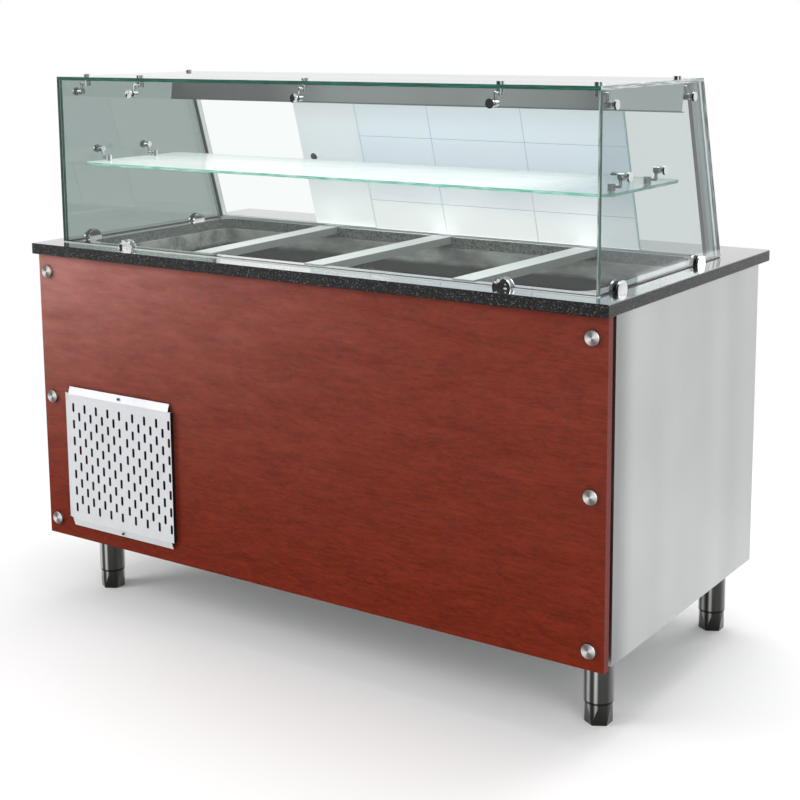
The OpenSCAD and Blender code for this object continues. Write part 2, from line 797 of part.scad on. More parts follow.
module machine_cover() {
  y1 = cab_y1 - 1;
  s = cover_sheet;
  h = louvre_h / 2;
  color("#cbcdcc") difference() {
    union() {
      difference() {
        span(cover_x, [frame_y1, y1], cover_z);
        span([cover_x[0] + s, cover_x[1] - s], [frame_y1 - cut, y1 - s],
             [cover_z[0] + s, cover_z[1] - s]);
        louvre_places() span([-louvre_w / 2, louvre_w / 2], [y1 - s - cut, y1 + cut], [-h, h]);
      }
      louvre_places() along_x([-louvre_w / 2, louvre_w / 2]) polygon([
        [y1 - s / 2, h - 0.2], [y1 - s / 2, h + s], [y1 - s, h + s],
        [y1 - louvre_depth, s - h], [y1 - louvre_depth, -h]]);
    }
    rod_y([gland_x, y1 - s - cut, gland_z], gland_hole, s + 2 * cut);
  }
}

gland_x = cover_x[0] + 40;
gland_z = cover_z[0] + 20;
gland_hole = 16;

module cable_gland() {
  y1 = cab_y1 - 1;
  color("#1c1c1d") translate([gland_x, y1, gland_z]) {
    rod_y([0, 0, 0], gland_hole + 8, 5);
    rod_y([0, -14, 0], gland_hole - 2 * weld, 14);
    translate([0, 5, 0]) rotate([-90, 0, 0]) difference() {
      cylinder(d1 = gland_hole + 4, d2 = gland_hole - 1, h = 14);
      cylinder(d = gland_hole / 2, h = 14 + cut);
    }
  }
}

// ---------------------------------------------------------------- cupboard

shelf_rest_z = base_z + cupboard_shelf_height;
bracket = 20;

module shelf_brackets() {
  color("#aeb1b1") for (side = [0, 1]) {
    x = side == 0 ? wall_x1 : in_x;
    dir = side == 0 ? 1 : -1;
    y = [cab_y0 + frame_tube + 10, frame_y1 - frame_tube - 10];
    span([min(x, x + dir * 2), max(x, x + dir * 2)], y, [shelf_rest_z - bracket, shelf_rest_z]);
    span([min(x, x + dir * bracket), max(x, x + dir * bracket)], y,
         [shelf_rest_z - 2, shelf_rest_z]);
  }
}

module cupboard_shelf() {
  t = cupboard_shelf_sheet;
  x = [wall_x1 + 2, in_x - 2];
  y = [cab_y0 + frame_tube + 3, frame_y1 - frame_tube - 3];
  color("#c4c7c6") {
    span(x, y, [shelf_rest_z, shelf_rest_z + t]);
    for (e = [y[0], y[1] - t]) span(x, [e, e + t], [shelf_rest_z, shelf_rest_z + cupboard_shelf_lip]);
  }
}

// Double-skinned door from its hinge edge to its free edge, with blocks for its pins and
// a finger pocket; dir is +1 where the hinge is on the left.
module cupboard_door(hinge_x, free_x, dir) {
  x0 = min(hinge_x, free_x);
  x1 = max(hinge_x, free_x);
  px = hinge_x + dir * pivot_inset;
  py = door_y1 - pivot_inset;
  gx = [free_x - dir * 40 - grip_width / 2, free_x - dir * 40 + grip_width / 2];
  gz = (door_z0 + door_z1) / 2 + 60;
  grip_z = [gz - grip_height / 2, gz + grip_height / 2];
  block = [px - dir * (pivot_inset - panel_skin / 2), px + dir * (hinge_pin / 2 + 3)];
  s = panel_skin;
  color("#d0d2d1") difference() {
    union() {
      shell([x0, x1], [door_y0, door_y1], [door_z0, door_z1], s);
      for (z = [door_z0 + s / 2, door_z1 - hinge_pin_depth - 3 + s / 2])
        span([min(block), max(block)], [py - hinge_pin / 2 - 3, door_y1 - s / 2],
             [z, z + hinge_pin_depth + 3 - s]);
      span([gx[0] - s, gx[1] + s], [door_y1 - grip_depth - s, door_y1 - s / 2],
           [grip_z[0] - s, grip_z[1] + s]);
    }
    for (z = [door_z0 - cut, door_z1 - hinge_pin_depth])
      rod_z([px, py, z], hinge_pin + 0.1, hinge_pin_depth + cut);
    span(gx, [door_y1 - grip_depth, door_y1 + cut], grip_z);
  }
}

module cupboard_door_left() cupboard_door(door_x0, door_mid - door_gap / 2, 1);
module cupboard_door_right() cupboard_door(door_x1, door_mid + door_gap / 2, -1);

module door_gasket(x0, x1) {
  e = pivot_inset + 1;
  g = cupboard_gasket_width;
  y = [door_y0 - cupboard_gasket, door_y0];
  color("#3b3c3d") difference() {
    span([x0 + e, x1 - e], y, [door_z0 + e, door_z1 - e]);
    span([x0 + e + g, x1 - e - g], [y[0] - cut, y[1] + cut], [door_z0 + e + g, door_z1 - e - g]);
  }
}

module door_gasket_left() door_gasket(door_x0, door_mid - door_gap / 2);
module door_gasket_right() door_gasket(door_mid + door_gap / 2, door_x1);

module door_hinges() {
  half = pivot_inset + door_gap - touch;
  y = [frame_y1 + 1, door_y1];
  color("#9a9c9d") for (px = [door_x0 + pivot_inset, door_x1 - pivot_inset])
    for (z = [[base_z, base_z + hinge_plate, base_z], [fascia_z - hinge_plate, fascia_z,
              fascia_z - hinge_plate - hinge_pin_depth + 1]]) {
      span([px - half, px + half], y, [z[0], z[1]]);
      rod_z([px, door_y1 - pivot_inset, z[2]], hinge_pin, hinge_plate + hinge_pin_depth - 1);
    }
}

// ---------------------------------------------------------------- legs and feet

leg_x = end_x - leg_end;
leg_y = [front_y + leg_front, rear_y - leg_rear];
tube_inner = leg_diameter - 2 * leg_wall;
nut_z = foot_height + foot_guide + 12;
nut_h = 12;

module leg_tube() {
  difference() {
    rod_z([0, 0, foot_height], leg_diameter, cab_z - foot_height);
    rod_z([0, 0, foot_height - cut], tube_inner, cab_z - leg_plate_thickness - foot_height + cut);
  }
  translate([-leg_plate / 2, -leg_plate / 2, cab_z - leg_plate_thickness])
    cube([leg_plate, leg_plate, leg_plate_thickness]);
  difference() {
    rod_z([0, 0, nut_z], tube_inner, nut_h);
    rod_z([0, 0, nut_z - cut], foot_screw + 0.1, nut_h + 2 * cut);
  }
}

module leg_tubes() {
  color("#77797a") for (y = leg_y) both_ends(leg_x) translate([0, y, 0]) leg_tube();
}

// A foot turned from bar with six tilted flats, its guide and its screw.
module foot(x, y) {
  d = tube_inner - 2 * touch;
  tilt = atan((d - flat_width) / 2 / flat_height);
  color("#6f7172") translate([x, y, 0]) {
    difference() {
      cylinder(d = d, h = foot_height + foot_guide);
      for (i = [0 : 5]) rotate([0, 0, 60 * i]) translate([flat_width / 2, 0, 0])
        rotate([0, tilt, 0]) translate([0, -d, -foot_height])
          cube([d, 2 * d, 2 * foot_height]);
    }
    rod_z([0, 0, foot_height + foot_guide], foot_screw, foot_screw_length);
  }
}

module foot_front_left() foot(-leg_x, leg_y[0]);
module foot_front_right() foot(leg_x, leg_y[0]);
module foot_rear_left() foot(-leg_x, leg_y[1]);
module foot_rear_right() foot(leg_x, leg_y[1]);

// ---------------------------------------------------------------- canopy glass

hole = connector_bolt + 0.6;
side_places = [front_y + connector_top_front, can_y + canopy_top_depth - connector_top_rear];
shelf_places = [front_y + connector_shelf_front, front_y + connector_shelf_rear];
front_places = [for (i = [-1 : 1]) i * (end_x - connector_front_end)];
upper_disc_z = under_z - connector_drop;
shelf_disc_z = shelf_z + shelf_thickness + connector_drop;
knob_line_x = can_in - connector_reach;
knob_line_y = can_y + glass_thickness + connector_reach;

module front_glass() {
  color("#bfe3dc", 0.35) difference() {
    span([-can_x, can_x], [can_y, can_y + glass_thickness], [top_z + glass_gasket, under_z]);
    for (x = front_places) rod_y([x, can_y - cut, upper_disc_z], hole, glass_thickness + 2 * cut);
  }
}

module side_glass(s) {
  y0 = can_y + glass_thickness + glass_gap;
  edge = can_y + canopy_bottom_depth;
  color("#bfe3dc", 0.35) scale_x(s) difference() {
    along_x([can_in, can_x]) polygon([
      [y0, top_z + glass_gasket], [edge - glass_gasket * tan(lean), top_z + glass_gasket],
      [edge - (canopy_height - glass_thickness) * tan(lean), under_z], [y0, under_z]]);
    for (y = side_places) rod_x([can_in - cut, y, upper_disc_z], hole, glass_thickness + 2 * cut);
    for (y = shelf_places) rod_x([can_in - cut, y, shelf_disc_z], hole, glass_thickness + 2 * cut);
  }
}

module side_glass_left() side_glass(-1);
module side_glass_right() side_glass(1);

module top_glass() {
  color("#bfe3dc", 0.35) difference() {
    span([-can_x, can_x], [can_y, can_y + canopy_top_depth], [under_z, can_z]);
    for (x = front_places) rod_z([x, knob_line_y, under_z - cut], hole, glass_thickness + 2 * cut);
    for (y = side_places) both_ends(knob_line_x)
      rod_z([0, y, under_z - cut], hole, glass_thickness + 2 * cut);
  }
}

module shelf_glass() {
  x = can_in - shelf_end_gap;
  y = front_y + shelf_front;
  color("#c8ece2", 0.35) translate([0, 0, shelf_z]) linear_extrude(shelf_thickness) difference() {
    round_rect([-x, x], [y, y + shelf_depth], shelf_corner);
    for (p = shelf_places, s = [-1, 1]) translate([s * knob_line_x, p]) circle(d = hole);
  }
}

// ---------------------------------------------------------------- clamps and connectors

clamp_slot = glass_thickness + 2 * clamp_pad;

module half_disc(r) {
  difference() {
    circle(r);
    translate([-2 * r, -2 * r]) square([4 * r, 2 * r]);
  }
}

// A half-round plate across X, standing on the slab, between two X values.
module cheek(x, r) { along_x(x) half_disc(r); }

// Clamp with its glass in the plane x = 0.
module glass_clamp() {
  difference() {
    cheek([-clamp_slot / 2 - clamp_cheek, clamp_slot / 2 + clamp_cheek], clamp_radius);
    span([-clamp_slot / 2, clamp_slot / 2], [-clamp_radius, clamp_radius],
         [glass_gasket, 2 * clamp_radius]);
  }
}

module clamp_pads() {
  for (x = [-clamp_slot / 2, glass_thickness / 2]) intersection() {
    cheek([x, x + clamp_pad], clamp_radius - 1);
    span([x, x + clamp_pad], [-clamp_radius, clamp_radius], [glass_gasket, clamp_radius]);
  }
}

// Copies of a clamp part at the two front and the four side places.
module clamp_places() {
  for (s = [-1, 1]) translate([s * (end_x - clamp_front_end), can_y + glass_thickness / 2, top_z])
    rotate([0, 0, 90]) children();
  for (y = [front_y + clamp_side_front, rear_y - clamp_side_rear], s = [-1, 1])
    translate([s * (can_x - glass_thickness / 2), y, top_z]) children();
}

module glass_clamps() {
  color("#c9cacb") clamp_places() glass_clamp();
}

module glass_gaskets() {
  y0 = can_y + glass_thickness + glass_gap;
  color("#1d1e1f") {
    difference() {
      union() {
        span([-can_x, can_x], [can_y, can_y + glass_thickness], [top_z, top_z + glass_gasket]);
        for (s = [-1, 1]) scale_x(s)
          span([can_in, can_x], [y0, can_y + canopy_bottom_depth - 4], [top_z, top_z + glass_gasket]);
      }
      clamp_places() cheek([-clamp_slot, clamp_slot], clamp_radius + touch);
    }
    clamp_places() clamp_pads();
  }
}

// Connector between an upright glass, inner face at x = 0, and a level glass above it.
module glass_connector(carried) {
  r = rod_diameter / 2;
  spine = disc_diameter / 2;
  arm_z = connector_drop - 9;
  rod_x([-glass_thickness - 4, 0, 0], disc_diameter, 4);
  rod_x([-glass_thickness, 0, 0], connector_bolt, glass_thickness);
  rod_x([0, 0, 0], disc_diameter - 5, spine + r);
  rod_z([spine, 0, 0], rod_diameter, arm_z);
  translate([spine, 0, arm_z]) sphere(d = rod_diameter);
  rod_x([spine, 0, arm_z], rod_diameter, connector_reach - spine);
  rod_z([connector_reach, 0, connector_drop - 14], knob_diameter, 14);
  rod_z([connector_reach, 0, connector_drop], connector_bolt, carried);
  rod_z([connector_reach, 0, connector_drop + carried], knob_diameter, 5);
}

module top_connectors() {
  color("#bcbdbd") {
    for (x = front_places) translate([x, can_y + glass_thickness, upper_disc_z])
      rotate([0, 0, 90]) glass_connector(glass_thickness);
    for (y = side_places, s = [-1, 1]) translate([s * can_in, y, upper_disc_z])
      rotate([0, 0, s > 0 ? 180 : 0]) glass_connector(glass_thickness);
  }
}

module shelf_connectors() {
  color("#bcbdbd") for (y = shelf_places, s = [-1, 1]) translate([s * can_in, y, shelf_disc_z])
    rotate([0, 0, s > 0 ? 180 : 0]) mirror([0, 0, 1]) glass_connector(shelf_thickness);
}

// ---------------------------------------------------------------- header, lamp and track

header_y1 = sill_y - (canopy_height - glass_thickness) * tan(lean) - track_half / cos(lean) - header_gap;
header_y0 = header_y1 - header_depth;
header_z = under_z - header_height;

header_x = can_in - touch;
deck_x = knob_line_x - knob_diameter / 2 - 3;   // top and web end before the connectors

// The apron runs from glass to glass, the top and the web behind it are shorter.
module header_channel() {
  s = header_sheet;
  lip = 12;
  color("#8d9090") {
    along_x([-header_x, header_x]) polygon([
      [header_y0 + header_lean, under_z], [header_y0, header_z], [header_y0 + lip, header_z],
      [header_y0 + lip, header_z + s], [header_y0 + 1.2 * s, header_z + s],
      [header_y0 + header_lean + 1.2 * s, under_z]]);
    along_x([-deck_x, deck_x]) polygon([
      [header_y0 + header_lean, under_z], [header_y0 + header_lean, under_z - s],
      [header_y1 - s, under_z - s], [header_y1 - s, header_z + 14],
      [header_y1, header_z + 14], [header_y1, under_z]]);
  }
}

module lamp() {
  top = under_z - header_sheet;
  lamp_length = top_length - 2 * lamp_end;
  r = lamp_diameter / 2;
  y = (header_y0 + header_y1) / 2;
  color("#f2f2ec") {
    rod_x([-lamp_length / 2, y, top - r - 2], lamp_diameter, lamp_length);
    for (x = [-lamp_length / 2 - lamp_cap, lamp_length / 2])
      span([x, x + lamp_cap], [y - r - 2, y + r + 2], [top - 2 * r - 4, top]);
  }
}

// Frame of the sliding doors: x along them, then across them, then up their slope.
module slope() { translate([0, sill_y, top_z]) rotate([lean, 0, 0]) children(); }

// Keeps what lies between two heights above the slab.
module between(z) {
  intersection() {
    children();
    span([-end_x, end_x], [front_y, rear_y], [top_z + z[0], top_z + z[1]]);
  }
}

// Middle of a sliding door across the slope; side is -1 for the inner door.
function slider_v(side) = side * slider_pitch / 2;
function seat_w(side) = (sill_seat - (slider_v(side) - slider_thickness / 2) * sin(lean)) / cos(lean);
function head_w(side) = (slider_rise - (slider_v(side) + slider_thickness / 2) * sin(lean)) / cos(lean);

module groove(side) {
  half = slider_thickness / 2 + slider_play;
  slope() span([-slider_x - cut, slider_x + cut], [slider_v(side) - half, slider_v(side) + half],
               [-20, 2 * canopy_height]);
}

module door_sill() {
  half = track_half / cos(lean);
  color("#c6c8c8") difference() {
    span([-slider_x, slider_x], [sill_y - half - 1, sill_y + half], [top_z, top_z + sill_height]);
    for (side = [-1, 1]) between([sill_floor, sill_height + cut]) groove(side);
  }
}

module door_top_track() {
  z = canopy_height - glass_thickness;
  color("#7f8283") difference() {
    between([z - track_height, z]) slope()
      span([-slider_x, slider_x], [-track_half, track_half], [0, 2 * canopy_height]);
    for (side = [-1, 1]) between([0, z - 2]) groove(side);
  }
}

module door_jambs() {
  z1 = canopy_height - glass_thickness;
  fin = 8;
  color("#2c2e2f") for (s = [-1, 1]) scale_x(s) {
    between([0, z1]) slope()
      span([slider_x + touch, can_in], [-track_half - 2, track_half], [-20, 2 * canopy_height]);
    between([sill_height + touch, z1 - track_height - touch]) slope()
      span([slider_x + touch - fin, slider_x + 2 * touch], [-track_half - 2, -track_half + 1],
           [-20, 2 * canopy_height]);
  }
}

knob_w = shelf_height / cos(lean);

module sliding_door(x, side) {
  v = slider_v(side);
  knob_x = side < 0 ? x + slider_width - slider_knob_inset : x + slider_knob_inset;
  slope() difference() {
    span([x, x + slider_width], [v - slider_thickness / 2, v + slider_thickness / 2],
         [seat_w(side), head_w(side)]);
    rod_y([knob_x, v - slider_thickness, knob_w], connector_bolt + 0.4, 2 * slider_thickness);
  }
}

module sliding_door_outer() color("#cfd6da", 0.9) sliding_door(slider_outer_x, 1);
module sliding_door_inner() color("#d5e0e8", 0.9) sliding_door(slider_inner_x, -1);

// Knob through a door: a flat disc towards the other door and a grip on the free side.
module slider_knob_at(knob_x, side) {
  disc = slider_disc;
  color("#a9abac") slope() translate([knob_x, slider_v(side), knob_w]) mirror([0, side < 0 ? 1 : 0, 0]) {
    rod_y([0, -slider_thickness / 2 - disc, 0], slider_knob, disc);
    rod_y([0, -slider_thickness / 2, 0], connector_bolt, slider_thickness);
    rod_y([0, slider_thickness / 2, 0], slider_knob * 0.6, 6);
    rod_y([0, slider_thickness / 2 + 6, 0], slider_knob, 6);
  }
}

module outer_door_knob() slider_knob_at(slider_outer_x + slider_knob_inset, 1);
module inner_door_knob() slider_knob_at(slider_inner_x + slider_width - slider_knob_inset, -1);

// ---------------------------------------------------------------- controls

panel_face = cab_y1;
control_z = fascia_z + thermostat_rise;
bezel_t = 3;
thermostat_x = end_x - thermostat_end;
switch_x = -thermostat_x + bezel_width / 2 + 30;
key_z = control_z - bezel_height / 2 + 8;
key_travel = 1;
key_places = [for (i = [-1 : 1]) -thermostat_x + i * key_step];

module thermostat_cut() {
  span([-thermostat_x - bezel_width / 2 + 3, -thermostat_x + bezel_width / 2 - 3],
       [frame_y1 - cut, cab_y1 + cut],
       [control_z - bezel_height / 2 + 3, control_z + bezel_height / 2 - 3]);
}

module thermostat() {
  color("#1f2123") difference() {
    union() {
      span([-thermostat_x - bezel_width / 2, -thermostat_x + bezel_width / 2],
           [panel_face, panel_face + bezel_t],
           [control_z - bezel_height / 2, control_z + bezel_height / 2]);
      span([-thermostat_x - bezel_width / 2 + 3.3, -thermostat_x + bezel_width / 2 - 3.3],
           [frame_y1 - 20, panel_face],
           [control_z - bezel_height / 2 + 3.3, control_z + bezel_height / 2 - 3.3]);
    }
    span([-thermostat_x - 26, -thermostat_x + 26], [panel_face + bezel_t - 0.8, panel_face + 10],
         [control_z - 3, control_z + 13]);
    for (x = key_places)
      rod_y([x, panel_face - 4, key_z], key_diameter + 2 * touch, bezel_t + 4 + cut);
  }
}

module thermostat_key(x) {
  color("#8d9092") {
    rod_y([x, panel_face - 2.6, key_z], key_diameter, bezel_t + 2.6 + 1.2);
  }
}

module key_left() thermostat_key(key_places[0]);
module key_middle() thermostat_key(key_places[1]);
module key_right() thermostat_key(key_places[2]);

rocker_w = switch_width - 8;
rocker_h = switch_height - 10;
rocker_y = panel_face + 1;
rocker_tilt = 10;

module switch_cut() {
  span([switch_x - switch_width / 2 + 2, switch_x + switch_width / 2 - 2],
       [frame_y1 - cut, cab_y1 + cut],
       [control_z - switch_height / 2 + 2, control_z + switch_height / 2 - 2]);
}

module power_switch_frame() {
  color("#202122") difference() {
    union() {
      span([switch_x - switch_width / 2, switch_x + switch_width / 2],
           [panel_face, panel_face + 2],
           [control_z - switch_height / 2, control_z + switch_height / 2]);
      span([switch_x - switch_width / 2 + 2.3, switch_x + switch_width / 2 - 2.3],
           [frame_y1, panel_face],
           [control_z - switch_height / 2 + 2.3, control_z + switch_height / 2 - 2.3]);
    }
    span([switch_x - rocker_w / 2 - touch, switch_x + rocker_w / 2 + touch],
         [panel_face - 9, panel_face + 2 + cut],
         [control_z - rocker_h / 2 - 1, control_z + rocker_h / 2 + 1]);
  }
}

// Rocker with its two faces at an angle, resting with the lower end pressed in.
module power_rocker() {
  color("#2f8a4a") translate([switch_x, rocker_y, control_z]) rotate([-rocker_tilt, 0, 0])
    translate([-rocker_w / 2, 0, 0]) rotate([90, 0, 90]) linear_extrude(rocker_w) polygon([
      [-5, -rocker_h / 2 + 2], [2.6, -rocker_h / 2], [1, 0], [2.6, rocker_h / 2],
      [-5, rocker_h / 2 - 2]]);
}

// ---------------------------------------------------------------- cooling machine

cond_x = -grille_x;
cond_y = inner_y;
cond_z = grille_z;
fan_y = cond_y + condenser_depth + 18;
motor_y = fan_y + 14;
motor_l = 60;
pot_x = bay_x;
pot_y = (frame_y1 + motor_y + motor_l) / 2 + 20;
pot_z = base_z + 18;
pot_dome = 40;

module condensing_unit() {
  half = condenser_size / 2;
  y = [cond_y, cond_y + condenser_depth];
  step = (condenser_size - 4) / (fin_count - 1);
  color("#54585b") {
    // finned block with end plates that stand on the cabinet's floor
    for (s = [-1, 1]) span([cond_x + s * half - 2, cond_x + s * half + 2], y,
                           [base_z, cond_z + half]);
    for (i = [1 : fin_count - 2]) span(
      [cond_x - half + 2 + i * step - 0.6, cond_x - half + 2 + i * step + 0.6],
      [y[0] + 3, y[1]], [cond_z - half + 6, cond_z + half - 6]);
    for (i = [-3 : 3]) rod_x([cond_x - half - 8, y[0] + condenser_depth / 2, cond_z + i * half / 3.8],
                             line_diameter, condenser_size + 16);
    // shroud with its round opening, and the motor on four arms
    difference() {
      span([cond_x - half, cond_x + half], [y[1], y[1] + 2], [cond_z - half, cond_z + half]);
      rod_y([cond_x, y[1] - cut, cond_z], fan_diameter + 12, 2 + 2 * cut);
    }
    rod_y([cond_x, motor_y, cond_z], motor_diameter, motor_l);
    rod_y([cond_x, fan_y - 2, cond_z], 8, motor_y - fan_y + 2);
    for (a = [45 : 90 : 315]) translate([cond_x, 0, cond_z]) rotate([0, a, 0]) {
      span([motor_diameter / 2 - 4, fan_diameter / 2 + 14], [motor_y + 4, motor_y + 8], [-6, 6]);
      span([fan_diameter / 2 + 10, fan_diameter / 2 + 14], [y[1] + 1, motor_y + 8], [-6, 6]);
    }
  }
  // compressor on its feet, with its motor and pump inside
  color("#1f2022") {
    difference() {
      pot(compressor_diameter, pot_z, compressor_height);
      pot(compressor_diameter - 2 * pot_wall, pot_z + pot_wall, compressor_height - 2 * pot_wall);
    }
    rod_z([pot_x, pot_y, pot_z + pot_wall + weld], compressor_diameter * 0.65,
          compressor_height * 0.6);
    for (a = [45 : 90 : 315]) translate([pot_x, pot_y, 0]) rotate([0, 0, a]) {
      span([compressor_diameter / 2 - 2, compressor_diameter / 2 + 24], [-16, 16],
           [pot_z + 1, pot_z + 4]);
      rod_z([compressor_diameter / 2 + 10, 0, base_z], 22, pot_z + 1 - base_z);
    }
  }
}

pot_wall = 4;

// Upright shell with a domed top that is flat in the middle.
module pot(d, z, h) {
  translate([pot_x, pot_y, z]) {
    cylinder(d = d, h = h - pot_dome);
    translate([0, 0, h - pot_dome]) difference() {
      sphere(d = d);
      translate([-d, -d, pot_dome]) cube([2 * d, 2 * d, d]);
      translate([-d, -d, -d]) cube([2 * d, 2 * d, d]);
    }
  }
}

module fan_blades() {
  hub = fan_diameter / 5;
  blade = 0.28 * fan_diameter;
  color("#9fa3a5") translate([cond_x, fan_y, cond_z]) rotate([-90, 0, 0]) {
    difference() {
      union() {
        translate([0, 0, -8]) cylinder(d = hub, h = 16);
        for (i = [0 : blade_count - 1]) rotate([0, 0, i * 360 / blade_count]) intersection() {
          translate([hub / 2 - 3, 0, 0]) rotate([24, 0, 0]) translate([0, -blade / 2, -1])
            cube([fan_diameter / 2, blade, 2]);
          translate([0, 0, -20]) cylinder(d = fan_diameter, h = 40);
        }
      }
      translate([0, 0, -20]) cylinder(d = 8.1, h = 40);
    }
  }
}

module refrigerant_lines() {
  d = line_diameter;
  top = pot_z + compressor_height;
  end_x = cond_x + condenser_size / 2 + 8;
  out_x = end_x + 1.5 * d;
  mid_y = cond_y + condenser_depth / 2;
  row = condenser_size / 2 / 3.8 * 3;
  drier_y = coil_end_y[0];
  run_z = foam_z - 20;
  color("#b8693a") {
    // from the compressor to the condenser
    pipe([[pot_x + 40, pot_y, top], [pot_x + 40, pot_y, top + 30], [out_x, pot_y, top + 30],
          [out_x, mid_y, top + 30], [out_x, mid_y, cond_z + row], [end_x, mid_y, cond_z + row]], d);
    // from the condenser through the drier to the coil
    pipe([[end_x, mid_y, cond_z - row], [out_x, mid_y, cond_z - row],
          [out_x, drier_y, cond_z - row], [out_x, drier_y, run_z], [line_up_x, drier_y, run_z],
          [line_up_x, drier_y, coil_z], [-coil_half, drier_y, coil_z]], d);
    rod_z([out_x, drier_y, cond_z - drier_length / 2], 2.2 * d, drier_length);
    // from the coil back to the compressor
    pipe([[pot_x - 40, pot_y, top], [pot_x - 40, pot_y, run_z], [line_up_x, pot_y, run_z],
          [line_up_x, coil_end_y[1], run_z],
          [line_up_x, coil_end_y[1], coil_z], [-coil_half, coil_end_y[1], coil_z]], d);
  }
}

// ---------------------------------------------------------------- assembly

granite_worktop();
well_tank();
well_insulation();
cooling_coil();
well_drain();
divider_bar_left();
divider_bar_middle();
divider_bar_right();
front_panel();
panel_standoffs();
vent_grille();
grille_screws();
side_panel_left();
side_panel_right();
cabinet_frame();
base_panel();
inner_front();
bay_wall();
rear_fascia();
machine_cover();
cable_gland();
shelf_brackets();
cupboard_shelf();
cupboard_door_left();
cupboard_door_right();
door_gasket_left();
door_gasket_right();
door_hinges();
leg_tubes();
foot_front_left();
foot_front_right();
foot_rear_left();
foot_rear_right();
front_glass();
side_glass_left();
side_glass_right();
top_glass();
shelf_glass();
glass_clamps();
glass_gaskets();
top_connectors();
shelf_connectors();
header_channel();
lamp();
door_top_track();
door_sill();
door_jambs();
sliding_door_outer();
sliding_door_inner();
outer_door_knob();
inner_door_knob();
thermostat();
key_left();
key_middle();
key_right();
power_switch_frame();
power_rocker();
condensing_unit();
fan_blades();
refrigerant_lines();
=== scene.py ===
"""Looks of a granite-topped, refrigerated salad bar with a glass canopy.

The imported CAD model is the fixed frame. Each sub-assembly below is a class
that dresses its CAD nodes with finishes and builds the fine pieces that the
CAD leaves out. All lengths are metres in the frame of the CAD model: X runs
along the counter, the guests stand on the -Y side, and Z is up.
"""
import json  # noqa: E402
import logging  # noqa: E402
import math  # noqa: E402
from collections.abc import Iterable, Sequence  # noqa: E402
from dataclasses import dataclass, field  # noqa: E402
from enum import Enum  # noqa: E402

import bmesh  # noqa: E402
import bpy  # noqa: E402
import numpy as np  # noqa: E402
from mathutils import Matrix, Vector  # noqa: E402

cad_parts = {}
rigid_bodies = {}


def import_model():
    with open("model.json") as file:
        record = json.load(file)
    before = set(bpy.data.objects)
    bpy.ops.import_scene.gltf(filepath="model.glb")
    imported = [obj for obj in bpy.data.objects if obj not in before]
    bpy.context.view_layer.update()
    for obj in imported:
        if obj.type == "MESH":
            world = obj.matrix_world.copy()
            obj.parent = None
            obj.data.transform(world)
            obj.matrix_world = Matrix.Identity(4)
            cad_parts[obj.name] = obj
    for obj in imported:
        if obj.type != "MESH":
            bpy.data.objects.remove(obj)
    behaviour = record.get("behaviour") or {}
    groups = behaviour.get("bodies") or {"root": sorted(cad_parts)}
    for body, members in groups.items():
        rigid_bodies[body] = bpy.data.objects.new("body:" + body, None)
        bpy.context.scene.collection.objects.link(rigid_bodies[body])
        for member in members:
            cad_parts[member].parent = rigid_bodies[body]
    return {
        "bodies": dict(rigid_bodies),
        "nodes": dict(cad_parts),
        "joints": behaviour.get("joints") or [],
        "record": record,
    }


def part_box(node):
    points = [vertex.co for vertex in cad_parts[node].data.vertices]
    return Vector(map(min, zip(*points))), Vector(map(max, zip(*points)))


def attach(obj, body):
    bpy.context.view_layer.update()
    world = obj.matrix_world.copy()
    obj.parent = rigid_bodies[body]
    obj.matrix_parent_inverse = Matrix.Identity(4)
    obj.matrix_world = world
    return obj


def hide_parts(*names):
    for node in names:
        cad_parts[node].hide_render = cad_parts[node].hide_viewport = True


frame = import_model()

log = logging.getLogger("salad_bar")
LEAN = 0.2873  # radians that the sliding doors lean towards the guests
Colour = tuple[float, float, float]


def tone(code: str) -> Colour:
    """Turns a display colour into the linear one that shaders use.

    Args:
        code: six hexadecimal digits, as red, green and blue.

    Returns:
        Linear red, green and blue, each from 0 to 1.
    """
    parts = np.array([int(code[i:i + 2], 16) for i in (0, 2, 4)]) / 255.0
    linear = np.where(parts <= 0.04045, parts / 12.92, ((parts + 0.055) / 1.055) ** 2.4)
    return tuple(float(v) for v in linear)


class Axis(Enum):
    """A direction of the frame, which grain or a pane's thickness follows."""

    X = (1.0, 0.0, 0.0)
    Y = (0.0, 1.0, 0.0)
    Z = (0.0, 0.0, 1.0)


